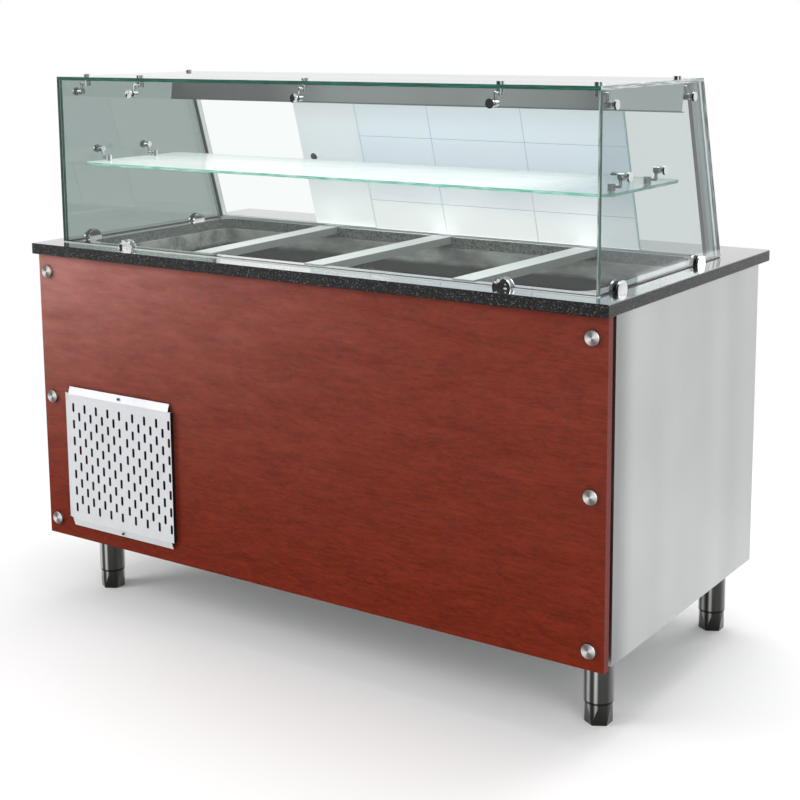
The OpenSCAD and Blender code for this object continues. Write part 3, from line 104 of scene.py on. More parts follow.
class Value:
    """A node socket that arithmetic is written on: each operation adds a Math node."""

    def __init__(self, graph: "Graph", socket: bpy.types.NodeSocket) -> None:
        """Keeps the graph and the output socket that this value stands for."""
        self.graph = graph
        self.socket = socket

    def _maths(self, operation: str, *operands: "Value | float") -> "Value":
        """Adds one Math node.

        Args:
            operation: the node's operation.
            operands: its inputs in order.

        Returns:
            The node's result.
        """
        return self.graph.value("ShaderNodeMath", {"operation": operation}, dict(enumerate(operands)))

    def __add__(self, other: "Value | float") -> "Value":
        """Sum."""
        return self._maths("ADD", self, other)

    def __radd__(self, other: float) -> "Value":
        """Sum with the number first."""
        return self._maths("ADD", other, self)

    def __sub__(self, other: "Value | float") -> "Value":
        """Difference."""
        return self._maths("SUBTRACT", self, other)

    def __rsub__(self, other: float) -> "Value":
        """Difference with the number first."""
        return self._maths("SUBTRACT", other, self)

    def __mul__(self, other: "Value | float") -> "Value":
        """Product."""
        return self._maths("MULTIPLY", self, other)

    def __rmul__(self, other: float) -> "Value":
        """Product with the number first."""
        return self._maths("MULTIPLY", other, self)

    def __truediv__(self, other: "Value | float") -> "Value":
        """Quotient."""
        return self._maths("DIVIDE", self, other)

    def __pow__(self, other: "Value | float") -> "Value":
        """Power."""
        return self._maths("POWER", self, other)

    def __abs__(self) -> "Value":
        """Size without its sign."""
        return self._maths("ABSOLUTE", self)

    def sine(self) -> "Value":
        """Sine of an angle in radians."""
        return self._maths("SINE", self)

    def root(self) -> "Value":
        """Square root."""
        return self._maths("SQRT", self)

    def angle(self, across: "Value") -> "Value":
        """Angle whose tangent is this value over the other."""
        return self._maths("ARCTAN2", self, across)

    def wrapped(self, period: float) -> "Value":
        """Distance above the last whole multiple of the period."""
        return self._maths("FLOORED_MODULO", self, period)

    def larger(self, other: "Value | float") -> "Value":
        """The larger of two values."""
        return self._maths("MAXIMUM", self, other)

    def above(self, limit: "Value | float") -> "Value":
        """1 where the value passes the limit, else 0."""
        return self._maths("GREATER_THAN", self, limit)

    def below(self, limit: "Value | float") -> "Value":
        """1 where the value stays under the limit, else 0."""
        return self._maths("LESS_THAN", self, limit)

    def rise(self, start: float, end: float, low: float = 0.0, high: float = 1.0) -> "Value":
        """Smooth step from low to high as the value runs from start to end."""
        inputs = {"Value": self, "From Min": start, "From Max": end, "To Min": low, "To Max": high}
        return self.graph.value("ShaderNodeMapRange", {"interpolation_type": "SMOOTHSTEP"}, inputs)

    def scaled(self, factors: Sequence[float]) -> "Value":
        """The vector with each part multiplied by its own factor."""
        return self.graph.value("ShaderNodeVectorMath", {"operation": "MULTIPLY"},
                                {0: self, 1: tuple(factors)})

    def along(self, direction: Sequence[float]) -> "Value":
        """The vector's part along a direction."""
        return self.graph.value("ShaderNodeVectorMath", {"operation": "DOT_PRODUCT"},
                                {0: self, 1: tuple(direction)}, "Value")

    def split(self) -> tuple["Value", "Value", "Value"]:
        """The vector's three parts."""
        node = self.graph.node("ShaderNodeSeparateXYZ", {}, {0: self})
        return tuple(Value(self.graph, out) for out in node.outputs)


class Graph:
    """The node tree of one material or of the world."""

    def __init__(self, tree: bpy.types.NodeTree) -> None:
        """Empties the tree."""
        self.tree = tree
        tree.nodes.clear()
        self._kept: dict[str, Value] = {}

    def node(self, kind: str, settings: dict[str, object], inputs: dict[int | str, object]) -> bpy.types.Node:
        """Adds a node: its settings first, then its sockets.

        Args:
            kind: Blender's name of the node type.
            settings: the node's own properties; "stops" are a ramp's (place, colour) pairs.
            inputs: a number, colour, vector or Value for sockets, by name or place.

        Returns:
            The new node.
        """
        made = self.tree.nodes.new(kind)
        for key, setting in settings.items():
            if key == "stops":
                self._stops(made.color_ramp, setting)
            else:
                setattr(made, key, setting)
        for key, given in inputs.items():
            socket = made.inputs[key] if isinstance(key, int) else next(
                s for s in made.inputs if s.name == key and s.enabled)
            if isinstance(given, Value):
                self.tree.links.new(given.socket, socket)
            elif isinstance(given, tuple) and socket.type == "RGBA":
                socket.default_value = (*given[:3], 1.0)
            else:
                socket.default_value = given
        return made

    @staticmethod
    def _stops(ramp: bpy.types.ColorRamp, stops: Iterable[tuple[float, Colour]]) -> None:
        """Fills a colour ramp with (place, colour) pairs in rising order."""
        pairs = list(stops)
        while len(ramp.elements) < len(pairs):
            ramp.elements.new(1.0)
        for element, (place, colour) in zip(ramp.elements, pairs):
            element.position, element.color = place, (*colour, 1.0)

    def value(self, kind: str, settings: dict[str, object], inputs: dict[int | str, object],
              output: int | str = 0) -> Value:
        """Adds a node and gives one of its outputs.

        Args:
            kind: Blender's name of the node type.
            settings: the node's own properties.
            inputs: its sockets' values or links.
            output: the output's name, or its place.

        Returns:
            That output as a Value.
        """
        made = self.node(kind, settings, inputs)
        if isinstance(output, int):
            usable = [s for s in made.outputs if s.enabled]
            return Value(self, usable[output])
        return Value(self, next(s for s in made.outputs if s.name == output and s.enabled))

    def place(self) -> Value:
        """Object coordinates, which every piece shares with the frame."""
        if "place" not in self._kept:
            self._kept["place"] = self.value("ShaderNodeTexCoord", {}, {}, "Object")
        return self._kept["place"]

    def facing(self) -> Value:
        """The surface's own normal in object space."""
        if "facing" not in self._kept:
            self._kept["facing"] = self.value("ShaderNodeTexCoord", {}, {}, "Normal")
        return self._kept["facing"]

    def noise(self, at: Value, scale: float, detail: float = 2.0, rough: float = 0.5) -> Value:
        """Smooth noise from 0 to 1, with `scale` lumps to a metre."""
        return self.value("ShaderNodeTexNoise", {},
                          {"Vector": at, "Scale": scale, "Detail": detail, "Roughness": rough}, 0)

    def cells(self, at: Value, scale: float) -> Value:
        """One random number for each cell of a cell pattern with `scale` cells to a metre."""
        colour = self.value("ShaderNodeTexVoronoi", {}, {"Vector": at, "Scale": scale}, "Color")
        return self.value("ShaderNodeSeparateColor", {}, {0: colour}, 0)

    def mix(self, factor: Value | float, first: Value | Colour, second: Value | Colour,
            blend: str = "MIX") -> Value:
        """Colour between two colours by a factor from 0 to 1."""
        return self.value("ShaderNodeMix", {"data_type": "RGBA", "blend_type": blend},
                          {"Factor": factor, "A": first, "B": second})

    def ramp(self, factor: Value, stops: Iterable[tuple[float, Colour]]) -> Value:
        """Colour looked up along a row of stops."""
        return self.value("ShaderNodeValToRGB", {"stops": stops}, {0: factor})

    def bump(self, height: Value, distance: float, strength: float = 1.0) -> Value:
        """Normal of a surface raised by a height from 0 to 1 times a distance."""
        return self.value("ShaderNodeBump", {},
                          {"Height": height, "Distance": distance, "Strength": strength})

    def principled(self, **sockets: Value | float | Colour) -> Value:
        """Principled shader; socket names are written with _ for their spaces."""
        return self.value("ShaderNodeBsdfPrincipled", {},
                          {k.replace("_", " "): v for k, v in sockets.items()})

    def either(self, factor: Value | float, first: Value, second: Value) -> Value:
        """Shader between two shaders by a factor from 0 to 1."""
        return self.value("ShaderNodeMixShader", {}, {0: factor, 1: first, 2: second})

    def output(self, shader: Value, kind: str = "ShaderNodeOutputMaterial") -> None:
        """Ends the tree with this shader."""
        self.node(kind, {}, {"Surface": shader})


# ---------------------------------------------------------------- finishes


@dataclass(frozen=True)
class Finish:
    """What a surface is made of. Each kind of finish shades itself."""

    slot: str

    def surface(self, graph: Graph) -> Value:
        """Builds the shader.

        Args:
            graph: the empty node tree to build in.

        Returns:
            The finished shader.
        """
        raise NotImplementedError

    def material(self) -> bpy.types.Material:
        """Makes the material of this finish, named for its slot."""
        made = bpy.data.materials.new("finish_" + self.slot)
        made.use_nodes = True
        graph = Graph(made.node_tree)
        graph.output(self.surface(graph))
        return made


@dataclass(frozen=True)
class BrushedSteel(Finish):
    """Sheet or bar metal with polishing lines along one direction.

    The lines are noise stretched 40 to 1 along the grain. Slow clouds of
    wiping marks change tone and gloss over a hand's breadth.
    """

    tint: str = "c6c7c7"
    roughness: float = 0.34
    grain: Axis = Axis.X
    pitch: float = 520.0
    lines: float = 0.10
    clouds: float = 0.06
    metallic: float = 1.0
    bands: float = 0.0
    # painted_shade_edge darkens the sheet towards its front edge at edge_y, as painted shade.
    painted_shade_edge: float = 0.0
    edge_y: float = -0.3415
    # painted_shade_side_tint: a darker tint for faces that are not turned up, as painted shade.
    painted_shade_side_tint: str = ""

    def surface(self, graph: Graph) -> Value:
        """Metal with lines, clouds and, if asked, broad soft bands along the grain, painted shade near the front
        edge and painted shade on upright sides.
        """
        place = graph.place()
        stretched = place.scaled([0.025 if part else 1.0 for part in self.grain.value])
        fine = graph.noise(stretched, self.pitch, 2.0, 0.6) - 0.5
        broad = graph.noise(stretched, self.pitch / 11, 2.0) - 0.5
        cloud = graph.noise(place, 4.5, 3.0) - 0.5
        shade = 0.5 + fine * self.lines * 2 + broad * self.lines * 1.6 + cloud * self.clouds * 3
        if self.bands:
            wide = place.scaled([0.02 if part else 1.0 for part in self.grain.value])
            shade = shade + (graph.noise(wide, 5.5, 1.0) - 0.5) * self.bands * 4
        # Painted shade: darker over the 9 cm behind the front edge.
        if self.painted_shade_edge:
            y = place.split()[1]
            shade = shade - y.rise(self.edge_y, self.edge_y + 0.09, self.painted_shade_edge, 0.0)
        base = tone(self.tint)
        dark, light = (tuple(min(1.0, c * k) for c in base) for k in (0.62, 1.38))
        gloss = (self.roughness + broad * 0.14 + cloud * 0.12).larger(0.04)
        colour = graph.mix(shade, dark, light)
        # Painted shade: faces that are not turned up take a darker tint.
        if self.painted_shade_side_tint:
            upright = graph.facing().along(Axis.Z.value).below(0.6)
            colour = graph.mix(upright, colour, graph.mix(shade, tuple(c * 0.5 for c in tone(self.painted_shade_side_tint)),
                                                          tone(self.painted_shade_side_tint)))
        return graph.principled(Base_Color=colour, Metallic=self.metallic,
                                Roughness=gloss, Normal=graph.bump(fine, 0.00012, 0.5))


@dataclass(frozen=True)
class PolishedMetal(Finish):
    """Plated or polished metal: nearly a mirror, with faint smears and hairlines.

    Turned sides carry dark streaks by the angle of their own normal, a painted
    reflection; ends that face the guests have broken dark patches of painted reflection.
    """

    tint: str = "e2e3e4"
    roughness: float = 0.07
    smear: float = 0.10
    streaks: float = 0.0

    def surface(self, graph: Graph) -> Value:
        """Mirror metal whose gloss and tone waver a little."""
        place = graph.place()
        smears = graph.noise(place, 38.0, 4.0, 0.6)
        hairs = graph.noise(place.scaled((1.0, 1.0, 0.06)), 1400.0, 1.0)
        base = tone(self.tint)
        colour = graph.mix(smears, tuple(c * 0.86 for c in base), base)
        # Painted reflection: dark streaks by normal angle and dark patches on faces turned to the guests.
        if self.streaks:
            across, deep, up = graph.facing().split()
            side = (up * 0.9 + across * 0.55 + deep * 0.2) * 0.5 + 0.5
            levels = ((0.0, 1.0), (0.2, 1.0), (0.3, 0.0), (0.42, 0.15), (0.5, 0.0), (0.62, 1.0), (0.7, 1.0),
                      (0.78, 0.0))
            dark = graph.ramp(side, [(at, (level,) * 3) for at, level in levels])
            broken = graph.noise(place, 70.0, 3.0, 0.6) + place.split()[0] * 0.16
            front = deep.below(-0.9) * broken.rise(0.44, 0.5)
            colour = graph.mix((dark * self.streaks).larger(front * 0.96), colour, tone("1a1b1c"))
        return graph.principled(Base_Color=colour, Metallic=1.0, Roughness=self.roughness + smears * self.smear,
                                Normal=graph.bump(hairs, 0.00002, 0.3))


@dataclass(frozen=True)
class DrawnTube(Finish):
    """Polished round or faceted leg metal with upright streaks painted in as reflections.

    The streak pattern is a painted reflection, looked up by the angle of the
    surface normal round the leg, so that each facet of a foot has one tone and a
    round tube has long upright streaks.
    """

    roughness: float = 0.12
    # low and high are the dark and light tones of the painted reflection streaks.
    low: str = "454643"
    high: str = "dcdddb"
    floor_darkening: float = 0.25
    joint_z: float = 0.0452

    def surface(self, graph: Graph) -> Value:
        """Painted reflection streaks by normal angle, darker towards the floor and at the joint of tube and
        foot.
        """
        place = graph.place()
        across, deep, _ = graph.facing().split()
        turn = deep.angle(across) / math.tau + 0.5
        dark, light = tone(self.low), tone(self.high)
        middle = tuple(0.3 * a + 0.7 * b for a, b in zip(light, dark))
        stops = [(0.0, middle), (0.08, light), (0.16, dark), (0.2, light), (0.235, dark), (0.265, dark),
                 (0.29, light), (0.32, dark), (0.42, dark), (0.5, middle), (0.62, light), (0.7, middle),
                 (0.8, dark), (0.9, middle), (1.0, middle)]
        # Painted reflection: tones by the angle of the normal round the leg.
        streaks = graph.ramp(turn, stops)
        grain = graph.noise(place.scaled((1.0, 1.0, 0.03)), 420.0, 2.0)
        height = place.split()[2]
        # Darker towards the floor, over the lowest 5 cm.
        floor_darkening = height.rise(0.0, 0.05, self.floor_darkening, 0.0)
        joint = abs(height - self.joint_z).below(0.0028) * 0.85
        colour = graph.mix((grain * 0.25 + floor_darkening).larger(joint), streaks, tuple(c * 0.25 for c in dark))
        return graph.principled(Base_Color=colour, Metallic=1.0, Roughness=self.roughness + grain * 0.12,
                                Normal=graph.bump(grain, 0.00003, 0.5))


@dataclass(frozen=True)
class TurnedCap(Finish):
    """Lathe-faced caps in two columns of evenly spaced rows.

    The distance r from the nearest cap's centre makes fine rings,
    height = sin(2 pi r / pitch), and these rings spread the light into the
    bright and dark wedges of a turned face. The base colour also carries
    those wedges as painted highlights, two bright and two dark round each cap.
    """

    tint: str = "b9b8b6"
    column: float = 0.713
    first_row: float = 0.202
    row_step: float = 0.300
    pitch: float = 0.0007

    def surface(self, graph: Graph) -> Value:
        """Rings as bump, and two pairs of soft painted highlight wedges by angle in the colour."""
        place = graph.place()
        side, _, up = place.split()
        dx = abs(side) - self.column
        dz = (up - (self.first_row - self.row_step / 2)).wrapped(self.row_step) - self.row_step / 2
        radius = (dx * dx + dz * dz).root()
        rings = (radius * (math.tau / self.pitch)).sine() * 0.5 + 0.5
        turn = dz.angle(dx * side.above(0.0) - dx * side.below(0.0))
        # Painted highlight: bright and dark wedges by the angle round each cap.
        painted_highlight_wedge = ((turn * 2.0 + 0.6).sine() * 0.5 + 0.5) ** 1.5
        grit = graph.noise(place, 900.0, 2.0)
        base = tone(self.tint)
        shade = painted_highlight_wedge * 0.88 + grit * 0.12
        colour = graph.mix(shade, tuple(c * 0.2 for c in base), tuple(min(1.0, c * 1.5) for c in base))
        return graph.principled(Base_Color=colour, Metallic=1.0, Roughness=0.30 + rings * 0.08,
                                Normal=graph.bump(rings, 0.00006, 0.6))


@dataclass(frozen=True)
class PolishedGranite(Finish):
    """Black granite, polished outside, sawn and dull inside the well opening.

    Flecks are the random numbers of two cell patterns: a few cells in a
    hundred are pale mica, more are grey, and the rest are nearly black. The
    strip of the top before the glass, from x = -0.5 on, is a painted reflection:
    it turns into a white mirror by (1 - cos)^4 at low angles.
    """

    opening: tuple[float, float, float, float] = (-0.6615, 0.6615, -0.2985, 0.1985)

    def surface(self, graph: Graph) -> Value:
        """Flecked stone with a mirror polish and a duller cut edge."""
        place = graph.place()
        warp = graph.noise(place, 60.0, 2.0)
        coarse = graph.cells(place, 470.0)
        fine = graph.cells(place, 1000.0)
        patches = graph.noise(place, 14.0, 3.0)
        big = graph.ramp(coarse, [(0.0, tone("0c0c0d")), (0.55, tone("141515")), (0.76, tone("232424")),
                                  (0.92, tone("404141")), (0.99, tone("848584"))])
        small = graph.ramp(fine, [(0.0, tone("0b0b0c")), (0.7, tone("161617")), (0.94, tone("363737")),
                                  (1.0, tone("8c8d8c"))])
        polished = graph.mix(0.42, graph.mix(patches * 0.5, big, tone("161717")), small)
        x, y, _ = place.split()
        left, right, front, back = self.opening
        inside = x.above(left) * x.below(right) * y.above(front) * y.below(back)
        upright = abs(graph.facing().along(Axis.Z.value)).below(0.5)
        cut = inside * upright
        mottle = graph.noise(place, 210.0, 4.0, 0.75)
        sawn = graph.mix(mottle.rise(0.36, 0.64), tone("2f3432"), tone("737c78"))
        # Painted shade: the front face darkens towards its right end.
        shaded = graph.facing().along(Axis.Y.value).below(-0.5) * x.rise(-0.3, 0.75, 0.0, 0.95)
        polished = graph.mix(shaded * (1.0 - coarse), polished, tone("050505"))
        gloss = 0.05 + cut * 0.5 + coarse * 0.05 + warp * 0.02
        top = graph.facing().along(Axis.Z.value).above(0.9)
        stone = graph.principled(Base_Color=graph.mix(cut, polished, sawn), Roughness=gloss, IOR=1.5,
                                 Specular_IOR_Level=0.22, Coat_Weight=top, Coat_Roughness=0.02,
                                 Normal=graph.bump(mottle * cut, 0.0004, 0.6))
        slope = graph.value("ShaderNodeLayerWeight", {}, {"Blend": 0.5}, "Facing")
        # Painted reflection: a white mirror on the top's strip before the glass.
        strip = top * y.below(front) * x.rise(-0.56, -0.5) * slope ** 4.0
        mirror = graph.principled(Base_Color=(1.0, 1.0, 1.0), Metallic=1.0, Roughness=gloss)
        return graph.either(strip * 0.9, stone, mirror)


@dataclass(frozen=True)
class WoodLaminate(Finish):
    """Cherry-red wood laminate with a burled, mottled print.

    Clouds, flecks and hairs are noise stretched along X by 4, 4 and 17.
    Veins are the thin contour lines |noise - 0.5| < 0.012 of a slow noise.
    A pale painted highlight grows by 0.34 (z - 0.2)^2 (0.62 - x)^2 + 0.045 (z - 0.1),
    most of all to the top left corner.
    """

    base: str = "68210f"
    # painted_sheen is the tint of the painted highlight.
    painted_sheen: str = "f7bdb5"
    edge: float = 0.06

    def surface(self, graph: Graph) -> Value:
        """Mottle, flecks, veins and a painted highlight under a satin lacquer."""
        place = graph.place()
        x, _, z = place.split()
        cloud = graph.noise(place.scaled((0.26, 1.0, 1.0)), 30.0, 6.0, 0.7) - 0.5
        fleck = graph.noise(place.scaled((0.26, 1.0, 1.0)), 170.0, 4.0, 0.8) - 0.5
        hair = graph.noise(place.scaled((0.06, 1.0, 1.0)), 230.0, 3.0, 0.7) - 0.5
        slow = graph.noise(place.scaled((0.3, 1.0, 1.0)), 9.0, 3.0, 0.6) - 0.5
        veins = abs(slow).rise(0.0, 0.012, 0.3, 0.0) * (cloud * 2.0 + 0.7)
        shade = 0.5 + cloud * 0.9 + fleck * 2.2 + hair * 0.9 - veins
        red = tone(self.base)
        wood = graph.mix(shade, tuple(c * 0.66 for c in red), tuple(c * 1.36 for c in red))
        # Painted highlight: a pale sheen towards the top left corner and the top.
        corner = (z - 0.2).larger(0.0) * (0.62 - x).larger(0.0)
        painted_sheen = corner * corner * 0.34 + (z - 0.1) * 0.045
        wood = graph.mix(painted_sheen * (1.0 + cloud * 1.2), wood, tone(self.painted_sheen))
        rim = abs(graph.facing().along(Axis.Y.value)).below(0.5)
        wood = graph.mix(rim * self.edge, wood, tone("b9a3b0"))
        return graph.principled(Base_Color=wood, Roughness=0.42 + fleck * 0.2, Specular_IOR_Level=0.05,
                                Normal=graph.bump(fleck + hair, 0.00006, 0.5))


@dataclass(frozen=True)
class ClearGlass(Finish):
    """A flat pane of float glass: clear through its faces, green in its edges.

    Reflection follows Schlick, 0.04 + 0.96 (1 - cos)^5, which is alike from
    both sides of the pane. Edge faces are those whose normal lies across
    the pane's own.
    """

    across: Axis = Axis.Y
    through: str = "fbfdfc"
    edge: str = "0f6f62"
    edge_light: str = "49b39b"
    mirror: str = "fbfcfc"
    # veil: how much painted reflection covers the upper face; painted_veil_glow: its own glow.
    veil: float = 0.0
    painted_veil_glow: float = 0.14
    side_edge: str = ""

    def surface(self, graph: Graph) -> Value:
        """Tinted clear faces, a mirror by Fresnel, and deep green edges.

        The veil is a painted reflection on the upper face: a milky sheet with a faint glow of its own, denser at
        a slant and fading out from x = 0.4 to 0.62.
        """
        place = graph.place()
        rim = abs(graph.facing().along(self.across.value)).below(0.7)
        slope = graph.value("ShaderNodeLayerWeight", {}, {"Blend": 0.5}, "Facing")
        mirror = 0.04 + 0.96 * slope ** 5.0
        film = graph.value("ShaderNodeBsdfTransparent", {}, {"Color": tone(self.through)})
        smear = graph.noise(place, 9.0, 4.0, 0.6)
        gloss = graph.principled(Base_Color=tone(self.mirror), Metallic=1.0, Roughness=smear * 0.03)
        face = graph.either(mirror, film, gloss)
        # Painted reflection: a glowing milky sheet over the upper face.
        if self.veil:
            wrinkle = graph.noise(place.scaled((0.4, 1.0, 1.0)), 16.0, 4.0, 0.6)
            sheet = graph.principled(Base_Color=(0.90, 0.92, 0.92), Roughness=0.35 + wrinkle * 0.2,
                                     Emission_Color=(0.95, 0.98, 0.98), Emission_Strength=self.painted_veil_glow)
            upper = graph.facing().along(self.across.value).above(0.7)
            reach = place.split()[0].rise(0.40, 0.62, 1.0, 0.0) * slope.rise(0.1, 0.7, 0.3, 1.0)
            face = graph.either(upper * reach * (self.veil + (wrinkle - 0.5) * 0.25), face, sheet)
        streak = graph.noise(place.scaled([0.04 if a < 0.5 else 1.0 for a in self.across.value]), 700.0, 2.0)
        colour = graph.mix(streak.rise(0.35, 0.7), tone(self.edge), tone(self.edge_light))
        if self.side_edge:
            end = abs(graph.facing().along(Axis.X.value)).above(0.7)
            pale = graph.mix(streak.rise(0.35, 0.7), tone(self.side_edge), tone("d4dad8"))
            colour = graph.mix(end, colour, pale)
        ground = graph.principled(Base_Color=colour, Roughness=0.18 + streak * 0.15, Specular_IOR_Level=0.3,
                                  Coat_Weight=0.12)
        return graph.either(rim, face, ground)


@dataclass(frozen=True)
class SlidingPane(Finish):
    """Leaning door glass under a silver-blue protective sheet.

    Tone runs down the pane from cool grey to near white at its foot. The
    guests' side glows a little as painted light, less towards the top; the staff's side has no glow.
    Creases are thin lines at chosen places across and up the sheet; one upright line, at a pane's left border,
    is a painted shadow in a gap.
    """

    top: str = "e6e8ea"
    middle: str = "e2e7ee"
    foot: str = "fcfdfe"
    upright_creases_and_shadow_line: tuple[float, ...] = ()
    level_creases: tuple[float, ...] = ()
    low: float = 0.872
    high: float = 1.236
    # pane_painted_glow: strength of the painted glow on the guests' side.
    pane_painted_glow: float = 0.5

    def surface(self, graph: Graph) -> Value:
        """Graded satin sheet with soft clouds and faint creases."""
        place = graph.place()
        x, _, z = place.split()
        up = (z - self.low) / (self.high - self.low)
        cloud = graph.noise(place, 7.0, 3.0, 0.55)
        colour = graph.ramp(up + (cloud - 0.5) * 0.22, [
            (0.0, tone(self.foot)), (0.16, tone(self.foot)), (0.42, tone(self.middle)), (1.0, tone(self.top))])
        creases: Value | None = None
        # Upright lines are film creases, save one painted shadow line at a pane's border.
        for middle in self.upright_creases_and_shadow_line:
            line = abs(x - middle).below(0.0009)
            creases = line if creases is None else creases.larger(line)
        for middle in self.level_creases:
            line = abs(z - middle).below(0.0007)
            creases = line if creases is None else creases.larger(line)
        if creases is not None:
            colour = graph.mix(creases * 0.75, colour, tone("8aa6b8"))
        slope = graph.facing().along((0.0, math.cos(LEAN), math.sin(LEAN)))
        rim = abs(slope).below(0.7)
        colour = graph.mix(rim, colour, tone("3f8f80"))
        outside = slope.above(0.7)
        colour = graph.mix(outside * 0.45, colour, tone("8f9aa2"))
        # Painted light: the guests' side glows, dimming by up to a fifth towards the top.
        pane_painted_glow = graph.mix(outside.larger(up.rise(0.0, 0.45, 0.0, 0.2)), colour, (0.0, 0.0, 0.0))
        ripple = graph.noise(place.scaled((1.0, 1.0, 0.25)), 30.0, 3.0)
        return graph.principled(Base_Color=colour, Roughness=0.34 + cloud * 0.14, Coat_Weight=0.08,
                                Emission_Color=pane_painted_glow, Emission_Strength=self.pane_painted_glow,
                                Normal=graph.bump(ripple, 0.0004, 0.3))


@dataclass(frozen=True)
class Moulding(Finish):
    """Moulded plastic or rubber with a fine sparked grain and handling marks."""

    tint: str = "1d1e1f"
    roughness: float = 0.5
    grain: float = 900.0
    depth: float = 0.00006

    def surface(self, graph: Graph) -> Value:
        """Grained surface with slightly uneven tone and gloss."""
        place = graph.place()
        spark = graph.noise(place, self.grain, 3.0, 0.7)
        marks = graph.noise(place, 22.0, 3.0)
        base = tone(self.tint)
        colour = graph.mix(marks * 0.5 + spark * 0.3, tuple(c * 0.8 for c in base),
                           tuple(min(1.0, c * 1.25 + 0.004) for c in base))
        return graph.principled(Base_Color=colour, Roughness=self.roughness + (marks - 0.5) * 0.2,
                                Normal=graph.bump(spark, self.depth, 0.6))


@dataclass(frozen=True)
class PaintedSheet(Finish):
    """Powder-coated or zinc-plated sheet with orange peel and light dust."""

    tint: str = "dfe1e3"
    roughness: float = 0.42
    metallic: float = 0.0
    peel: float = 260.0
    dust: str = "8d8a84"
    dusty: float = 0.12
    painted_shade_sides: str = ""

    def surface(self, graph: Graph) -> Value:
        """Orange-peel bump under an uneven veil of dust."""
        place = graph.place()
        peel = graph.noise(place, self.peel, 2.0)
        veil = graph.noise(place, 12.0, 4.0, 0.65)
        base = tone(self.tint)
        colour = graph.mix((peel - 0.5) * 0.5 + 0.5, tuple(c * 0.93 for c in base),
                           tuple(min(1.0, c * 1.05) for c in base))
        colour = graph.mix(veil.rise(0.45, 0.8) * self.dusty, colour, tone(self.dust))
        # Painted shade: faces turned along X, the grille's folded sides, are near black.
        if self.painted_shade_sides:
            cut = abs(graph.facing().along(Axis.X.value)).above(0.6)
            colour = graph.mix(cut, colour, tone(self.painted_shade_sides))
        return graph.principled(Base_Color=colour, Metallic=self.metallic,
                                Roughness=self.roughness + (veil - 0.5) * 0.2,
                                Normal=graph.bump(peel, 0.00015, 0.35))


@dataclass(frozen=True)
class WellSteel(Finish):
    """Welded well: pale smeared rim and upper walls, with lower walls and floor painted dark as shade.

    The wall's tone falls with the depth below the rim, from light steel at
    the top to nearly black where wall and floor meet: painted shade in the well.
    """

    floor_z: float = 0.655
    rim_z: float = 0.843
    wall: str = "c9cac6"
    # floor is a dark tone that stands for the shade in the well.
    floor: str = "26292a"
    roughness: float = 0.3

    def surface(self, graph: Graph) -> Value:
        """Brushed along X, painted dark below as shade, with pale crumbs of dust on the floor."""
        place = graph.place()
        height = place.split()[2]
        fine = graph.noise(place.scaled((0.03, 1.0, 1.0)), 480.0, 2.0)
        cloud = graph.noise(place, 6.0, 4.0)
        low = height.rise(self.floor_z, self.floor_z + 0.06, 1.0, 0.0)
        smear = graph.noise(place.scaled((0.35, 1.0, 1.0)), 21.0, 4.0, 0.65)
        edge = self.rim_z - 0.034 + (smear - 0.5) * 0.012
        # Painted shade: the walls darken below a wavy line 34 mm under the rim.
        deep = (edge - height).rise(-0.003, 0.012)
        top = graph.mix(smear.rise(0.35, 0.7), tone(self.wall), tone("7d807d"))
        walls = graph.mix((deep * 0.9 + fine * 0.1), top, tone("373a39"))
        # The floor's dark tones are painted shade in the well.
        base = graph.mix(cloud, tone(self.floor), tone("191b1c"))
        crumbs = graph.cells(place, 130.0).above(0.992) * graph.noise(place, 90.0, 2.0).above(0.56)
        colour = graph.mix(low, walls, graph.mix(crumbs * 0.5, base, tone("b9bab8")))
        return graph.principled(Base_Color=colour, Metallic=deep * 0.6 + 0.3,
                                Roughness=self.roughness + cloud * 0.18,
                                Normal=graph.bump(fine, 0.0001, 0.5))


@dataclass(frozen=True)
class FoamedPlastic(Finish):
    """Foamed insulation with open cells on its skin."""

    tint: str = "e0cf9c"

    def surface(self, graph: Graph) -> Value:
        """Cell walls as bump and tone."""
        place = graph.place()
        pits = graph.value("ShaderNodeTexVoronoi", {}, {"Vector": place, "Scale": 320.0}, "Distance")
        cloud = graph.noise(place, 8.0, 3.0)
        base = tone(self.tint)
        colour = graph.mix(pits * 0.7 + cloud * 0.4, tuple(c * 0.72 for c in base), base)
        return graph.principled(Base_Color=colour, Roughness=0.9, Normal=graph.bump(pits, 0.0008, 0.7))


@dataclass(frozen=True)
class CopperPipe(Finish):
    """Soft copper pipe, bright in places and browned in others."""

    def surface(self, graph: Graph) -> Value:
        """Tarnish patches change tone and gloss together."""
        place = graph.place()
        patch = graph.noise(place, 34.0, 4.0, 0.6).rise(0.35, 0.7)
        colour = graph.mix(patch, tone("d98f6d"), tone("7b4630"))
        fine = graph.noise(place, 600.0, 2.0)
        return graph.principled(Base_Color=colour, Metallic=1.0, Roughness=0.22 + patch * 0.3,
                                Normal=graph.bump(fine, 0.00005, 0.4))


@dataclass(frozen=True)
class FrostedTube(Finish):
    """Opal lamp tube with metal end caps.

    The caps are where the distance from the tube's middle passes its lit
    length.
    """

    half_length: float = 0.588

    def surface(self, graph: Graph) -> Value:
        """White opal glass between two bright caps."""
        place = graph.place()
        cap = abs(place.split()[0]).above(self.half_length)
        frost = graph.noise(place, 300.0, 2.0)
        colour = graph.mix(cap, graph.mix(frost, tone("eceeec"), tone("fbfcfa")), tone("a6a8aa"))
        return graph.principled(Base_Color=colour, Metallic=cap * 0.9, Roughness=0.22 + frost * 0.08)


